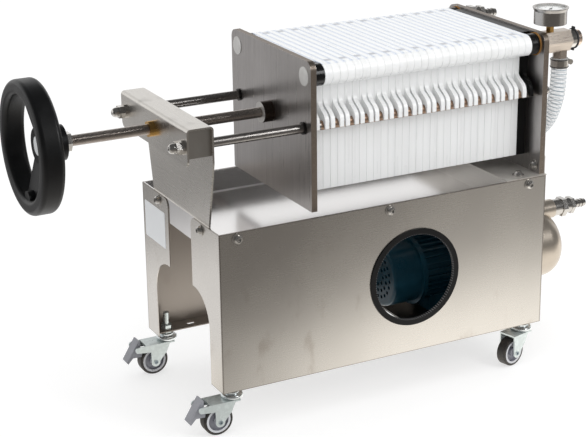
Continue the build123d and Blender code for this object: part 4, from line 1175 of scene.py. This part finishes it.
class PRESS_OT_gauge(bpy.types.Operator):
    """Print the gauge's face and set its needle"""

    bl_idname = "filter_press.gauge"
    bl_label = "Gauge face"

    def execute(self, context):
        sizes = context.scene.press_pieces
        low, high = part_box("gauge_dial")
        centre = Vector(((low.x + high.x) / 2, (low.y + high.y) / 2, high.z))
        radius = (high.x - low.x) / 2
        ink = cast_plastic("dial_ink", INK, 0.5, 900.0, 0.02, 0.02)
        turns = [math.radians(DIAL_START - DIAL_SWEEP * i / DIAL_STEPS) for i in range(DIAL_STEPS + 1)]
        outward = [Vector((math.cos(t), math.sin(t), 0.0)) for t in turns]
        ticks = place_points("dial_ticks", [(centre + way * radius * TICK_REACH, way) for way in outward])
        grow(ticks, tick_tree(ink), {"Tick Length": sizes.tick_length, "Tick Width": sizes.tick_width})
        dress(ticks, "frame")
        shapes = []
        for value in range(DIAL_VALUES):
            way = outward[value * DIAL_STEPS // (DIAL_VALUES - 1)]
            spot = centre + way * radius * NUMBER_REACH
            shapes.append(numeral(str(value), spot + Vector((0.0, 0.0, NUMBER_RISE)), NUMBER_HEIGHT))
        way = outward[NEEDLE_STEP]
        across = Vector((-way.y, way.x, 0.0))
        rise = Vector((0.0, 0.0, NEEDLE_RISE))
        back = centre - way * NEEDLE_TAIL + rise
        front = centre + way * radius * NEEDLE_REACH + rise
        upper = Vector((0.0, 0.0, NEEDLE_THICKNESS))
        ring = [back + across * NEEDLE_BACK, back - across * NEEDLE_BACK,
                front - across * NEEDLE_TIP, front + across * NEEDLE_TIP]
        shapes.append(rings_mesh([ring, [p + upper for p in ring]]))
        shapes.append(hoop(NEEDLE_HUB, centre, (0, 0, 1), 24))
        face = mesh_piece("dial_needle", *merged(shapes), ink, False)
        dress(face, "frame")
        return {"FINISHED"}


CLIP_FROM_FACE = 1.6 * MM
CLIP_SECTION = [(-1.2, 0.05), (1.2, 0.05), (1.2, 1.2), (0.8, 1.6), (-0.8, 1.6), (-1.2, 1.2)]
LUG_FOOT = 0.8
LUG_TIP = 4.5
LUG_HALF_THICKNESS = 1.2 * MM
LUG_HALF_WIDTH = 3.5 * MM


class PRESS_OT_clip(bpy.types.Operator):
    """Snap the black retaining clip on the manifold's plug ring"""

    bl_idname = "filter_press.clip"
    bl_label = "Manifold clip"

    def execute(self, context):
        low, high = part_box("manifold_plug_ring")
        centre = Vector((high.x - CLIP_FROM_FACE, (low.y + high.y) / 2, (low.z + high.z) / 2))
        radius = (high.z - low.z) / 2 / MM
        section = [(along, radius + rise) for along, rise in CLIP_SECTION]
        shapes = [hoop(section, centre, (1, 0, 0), 56)]
        for way in (-1, 1):
            foot = way * (radius + LUG_FOOT) * MM
            tip = way * (radius + LUG_TIP) * MM
            shapes.append(block(
                centre + Vector((-LUG_HALF_THICKNESS, -LUG_HALF_WIDTH, min(foot, tip))),
                centre + Vector((LUG_HALF_THICKNESS, LUG_HALF_WIDTH, max(foot, tip)))))
        clip = mesh_piece("manifold_clip", *merged(shapes), bpy.data.materials["black_plastic"], False)
        dress(clip, "frame")
        return {"FINISHED"}


LABEL_PLACE = (0, 100.5, 278.5)
LABEL_CORNER = 3.0 * MM
LABEL_RISE_AND_INSET = ((0.02, 0.0), (0.35, 0.0), (0.5, 0.3))


class PRESS_OT_label(bpy.types.Operator):
    """Fix the bare label on the rear flange"""

    bl_idname = "filter_press.label"
    bl_label = "Bare label"

    def execute(self, context):
        sizes = context.scene.press_pieces
        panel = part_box("rear_side_panel")
        centre = at(*LABEL_PLACE)
        centre.x = panel[0].x
        rings = []
        for rise, inset in LABEL_RISE_AND_INSET:
            half_y = sizes.label_width / 2 - inset * MM - LABEL_CORNER
            half_z = sizes.label_height / 2 - inset * MM - LABEL_CORNER
            ring = []
            for quarter, (sy, sz) in enumerate(((1, 1), (-1, 1), (-1, -1), (1, -1))):
                for step in range(5):
                    turn = math.radians(90 * quarter + 22.5 * step)
                    y = sy * half_y + LABEL_CORNER * math.cos(turn)
                    z = sz * half_z + LABEL_CORNER * math.sin(turn)
                    ring.append(centre + Vector((-rise * MM, y, z)))
            rings.append(ring)
        shade = tuple(context.scene.press_finishes.label)
        paper = cast_plastic("label_film", shade, 0.32, 500.0, 0.02, 0.0)
        label = mesh_piece("bare_label", *rings_mesh(rings), paper, False)
        dress(label, "frame")
        return {"FINISHED"}


FLOOR_HALF = 9
KEY_SIZE = (2.4, 1.8)
KEY_PLACE = (0.1, -0.5, 2.5)
KEY_TURN = (math.radians(12), 0.0, 0.0)
FILL_SIZE = (0.7, 1.2)
FILL_PLACE = (1.35, -2.15, 1.9)
FILL_TARGET = (0.0, 0.0, 0.3)

# How bright metal sees the floor and the wall: from, to, level at the start, level at the end
FLOOR_FORWARD = (-0.74, -0.34, 0.42, 1.42)
FLOOR_SIDEWAYS = (-0.25, 0.22, 0.36, 1.0)
FLOOR_OUTWARD = (-1.05, -0.72, 0.55, 1.0)
FLOOR_CLOSE_BEHIND = (0.45, 1.0, 1.0, 0.36)
FLOOR_FAR_BEHIND = (1.22, 1.7, 0.0, 0.42)
FLOOR_FRONT_PART = (0.02, 0.24, 1.0, 0.0)
WALL_BEHIND = (-0.15, 0.35, 0.0, 1.0)
WALL_LOW = (0.44, 0.62, 1.0, 0.0)
WALL_LEVEL = 1.20
CEILING_LEVEL = 0.09


def soft_lamp(name, size, power, place, turn):
    """A rectangular area light."""
    lamp = bpy.data.lights.new(name, "AREA")
    lamp.shape = "RECTANGLE"
    lamp.size, lamp.size_y = size
    lamp.energy = power
    piece = linked(name, lamp)
    piece.location = place
    piece.rotation_euler = turn
    return piece


class PRESS_OT_stage(bpy.types.Operator):
    """Lay the pale floor and set the soft light"""

    bl_idname = "filter_press.stage"
    bl_label = "Studio"

    def execute(self, context):
        studio = context.scene.press_studio
        corners = [(x * FLOOR_HALF, y * FLOOR_HALF, 0) for x, y in ((-1, -1), (1, -1), (1, 1), (-1, 1))]
        mesh_piece("floor", corners, [(0, 1, 2, 3)], floor_material(), False)
        set_world(studio)
        key = soft_lamp("overhead", KEY_SIZE, studio.key_power, KEY_PLACE, KEY_TURN)
        key.visible_glossy = False
        facing = Vector(FILL_TARGET) - Vector(FILL_PLACE)
        turn = facing.to_track_quat("-Z", "Y").to_euler()
        soft_lamp("front", FILL_SIZE, studio.fill_power, FILL_PLACE, turn)
        context.scene.view_settings.view_transform = "Standard"
        return {"FINISHED"}


def ray_kinds(network):
    """Whether a ray comes from the camera or through clear pieces, and whether it comes off a mirror."""
    path = network.add("ShaderNodeLightPath").socket.node.outputs
    seen = Signal(network, path["Is Camera Ray"]) + Signal(network, path["Is Transmission Ray"])
    return seen, Signal(network, path["Is Glossy Ray"])


def floor_material():
    """Pale floor, white to the camera, that metal sees brightest close to the press."""
    material = bpy.data.materials.new("pale_floor")
    material.use_nodes = True
    network = Network(material.node_tree)
    shader = network.tree.nodes["Principled BSDF"]
    seen, mirrored = ray_kinds(network)
    x, y = network.split(network.add("ShaderNodeTexCoord", None, None, "Object"))[:2]
    forward = network.ramp(y, *FLOOR_FORWARD)
    sideways = network.ramp(x + (y + 0.35) * 0.9, *FLOOR_SIDEWAYS)
    behind = network.ramp(y, *FLOOR_CLOSE_BEHIND) + network.ramp(y, *FLOOR_FAR_BEHIND)
    backward = network.ramp(x, *FLOOR_OUTWARD) * behind
    front = network.ramp(y, *FLOOR_FRONT_PART)
    level = front * forward * sideways + (1.0 - front) * backward
    shade = 0.80 - mirrored * 0.80 - seen * 0.34
    warm = network.blend(level * 0.7, (0.03, 0.021, 0.016), (1.43, 1.39, 1.32))
    cool = network.blend(level * 0.7, (0.02, 0.018, 0.018), (1.40, 1.39, 1.39))
    reflected = network.blend(front, cool, warm)
    glow = network.blend(seen, network.blend(mirrored, (0, 0, 0), reflected), (0.63, 0.63, 0.63))
    network.feed(shader.inputs["Base Color"], network.blend(shade, (0, 0, 0), (1, 1, 1)))
    network.feed(shader.inputs["Emission Color"], glow)
    shader.inputs["Emission Strength"].default_value = 1.0
    shader.inputs["Roughness"].default_value = 0.9
    shader.inputs["Specular IOR Level"].default_value = 0.0
    return material


def set_world(studio):
    """Soft light from all round; metal sees a bright low wall behind, a dark ceiling and a dark front."""
    world = bpy.data.worlds.new("studio")
    world.use_nodes = True
    bpy.context.scene.world = world
    network = Network(world.node_tree)
    background = network.tree.nodes["Background"]
    seen, mirrored = ray_kinds(network)
    y, z = network.split(network.add("ShaderNodeTexCoord", None, None, "Generated"))[1:]
    wall = network.ramp(y, *WALL_BEHIND) * network.ramp(z, *WALL_LOW)
    studio_level = CEILING_LEVEL + wall * WALL_LEVEL
    level = seen + (1.0 - seen) * (mirrored * studio_level + (1.0 - mirrored) * studio.ambient)
    network.feed(background.inputs["Color"], network.blend(level, (0, 0, 0), (1, 1, 1)))
    background.inputs["Strength"].default_value = 1.0


class PRESS_PT_pieces(bpy.types.Panel):
    """Lists the steps that dress the press"""

    bl_label = "Plate Filter Press"
    bl_idname = "PRESS_PT_pieces"
    bl_space_type = "VIEW_3D"
    bl_region_type = "UI"
    bl_category = "Filter Press"

    def draw(self, context):
        for step in STEPS:
            self.layout.operator(step.bl_idname)


STEPS = (
    PRESS_OT_camera,
    PRESS_OT_hose,
    PRESS_OT_finishes,
    PRESS_OT_spindle,
    PRESS_OT_screws,
    PRESS_OT_gauge,
    PRESS_OT_clip,
    PRESS_OT_label,
    PRESS_OT_stage,
)
GROUPS = {
    "press_finishes": FinishSettings,
    "press_pieces": PieceSettings,
    "press_studio": StudioSettings,
}


def register():
    for group in GROUPS.values():
        bpy.utils.register_class(group)
    for name, group in GROUPS.items():
        setattr(bpy.types.Scene, name, bpy.props.PointerProperty(type=group))
    for step in STEPS:
        bpy.utils.register_class(step)
    bpy.utils.register_class(PRESS_PT_pieces)


def unregister():
    bpy.utils.unregister_class(PRESS_PT_pieces)
    for step in reversed(STEPS):
        bpy.utils.unregister_class(step)
    for name, group in GROUPS.items():
        delattr(bpy.types.Scene, name)
        bpy.utils.unregister_class(group)


def main():
    """Dress the press."""
    register()
    for step in STEPS:
        group, name = step.bl_idname.split(".")
        getattr(getattr(bpy.ops, group), name)()


if __name__ == "__main__":
    main()
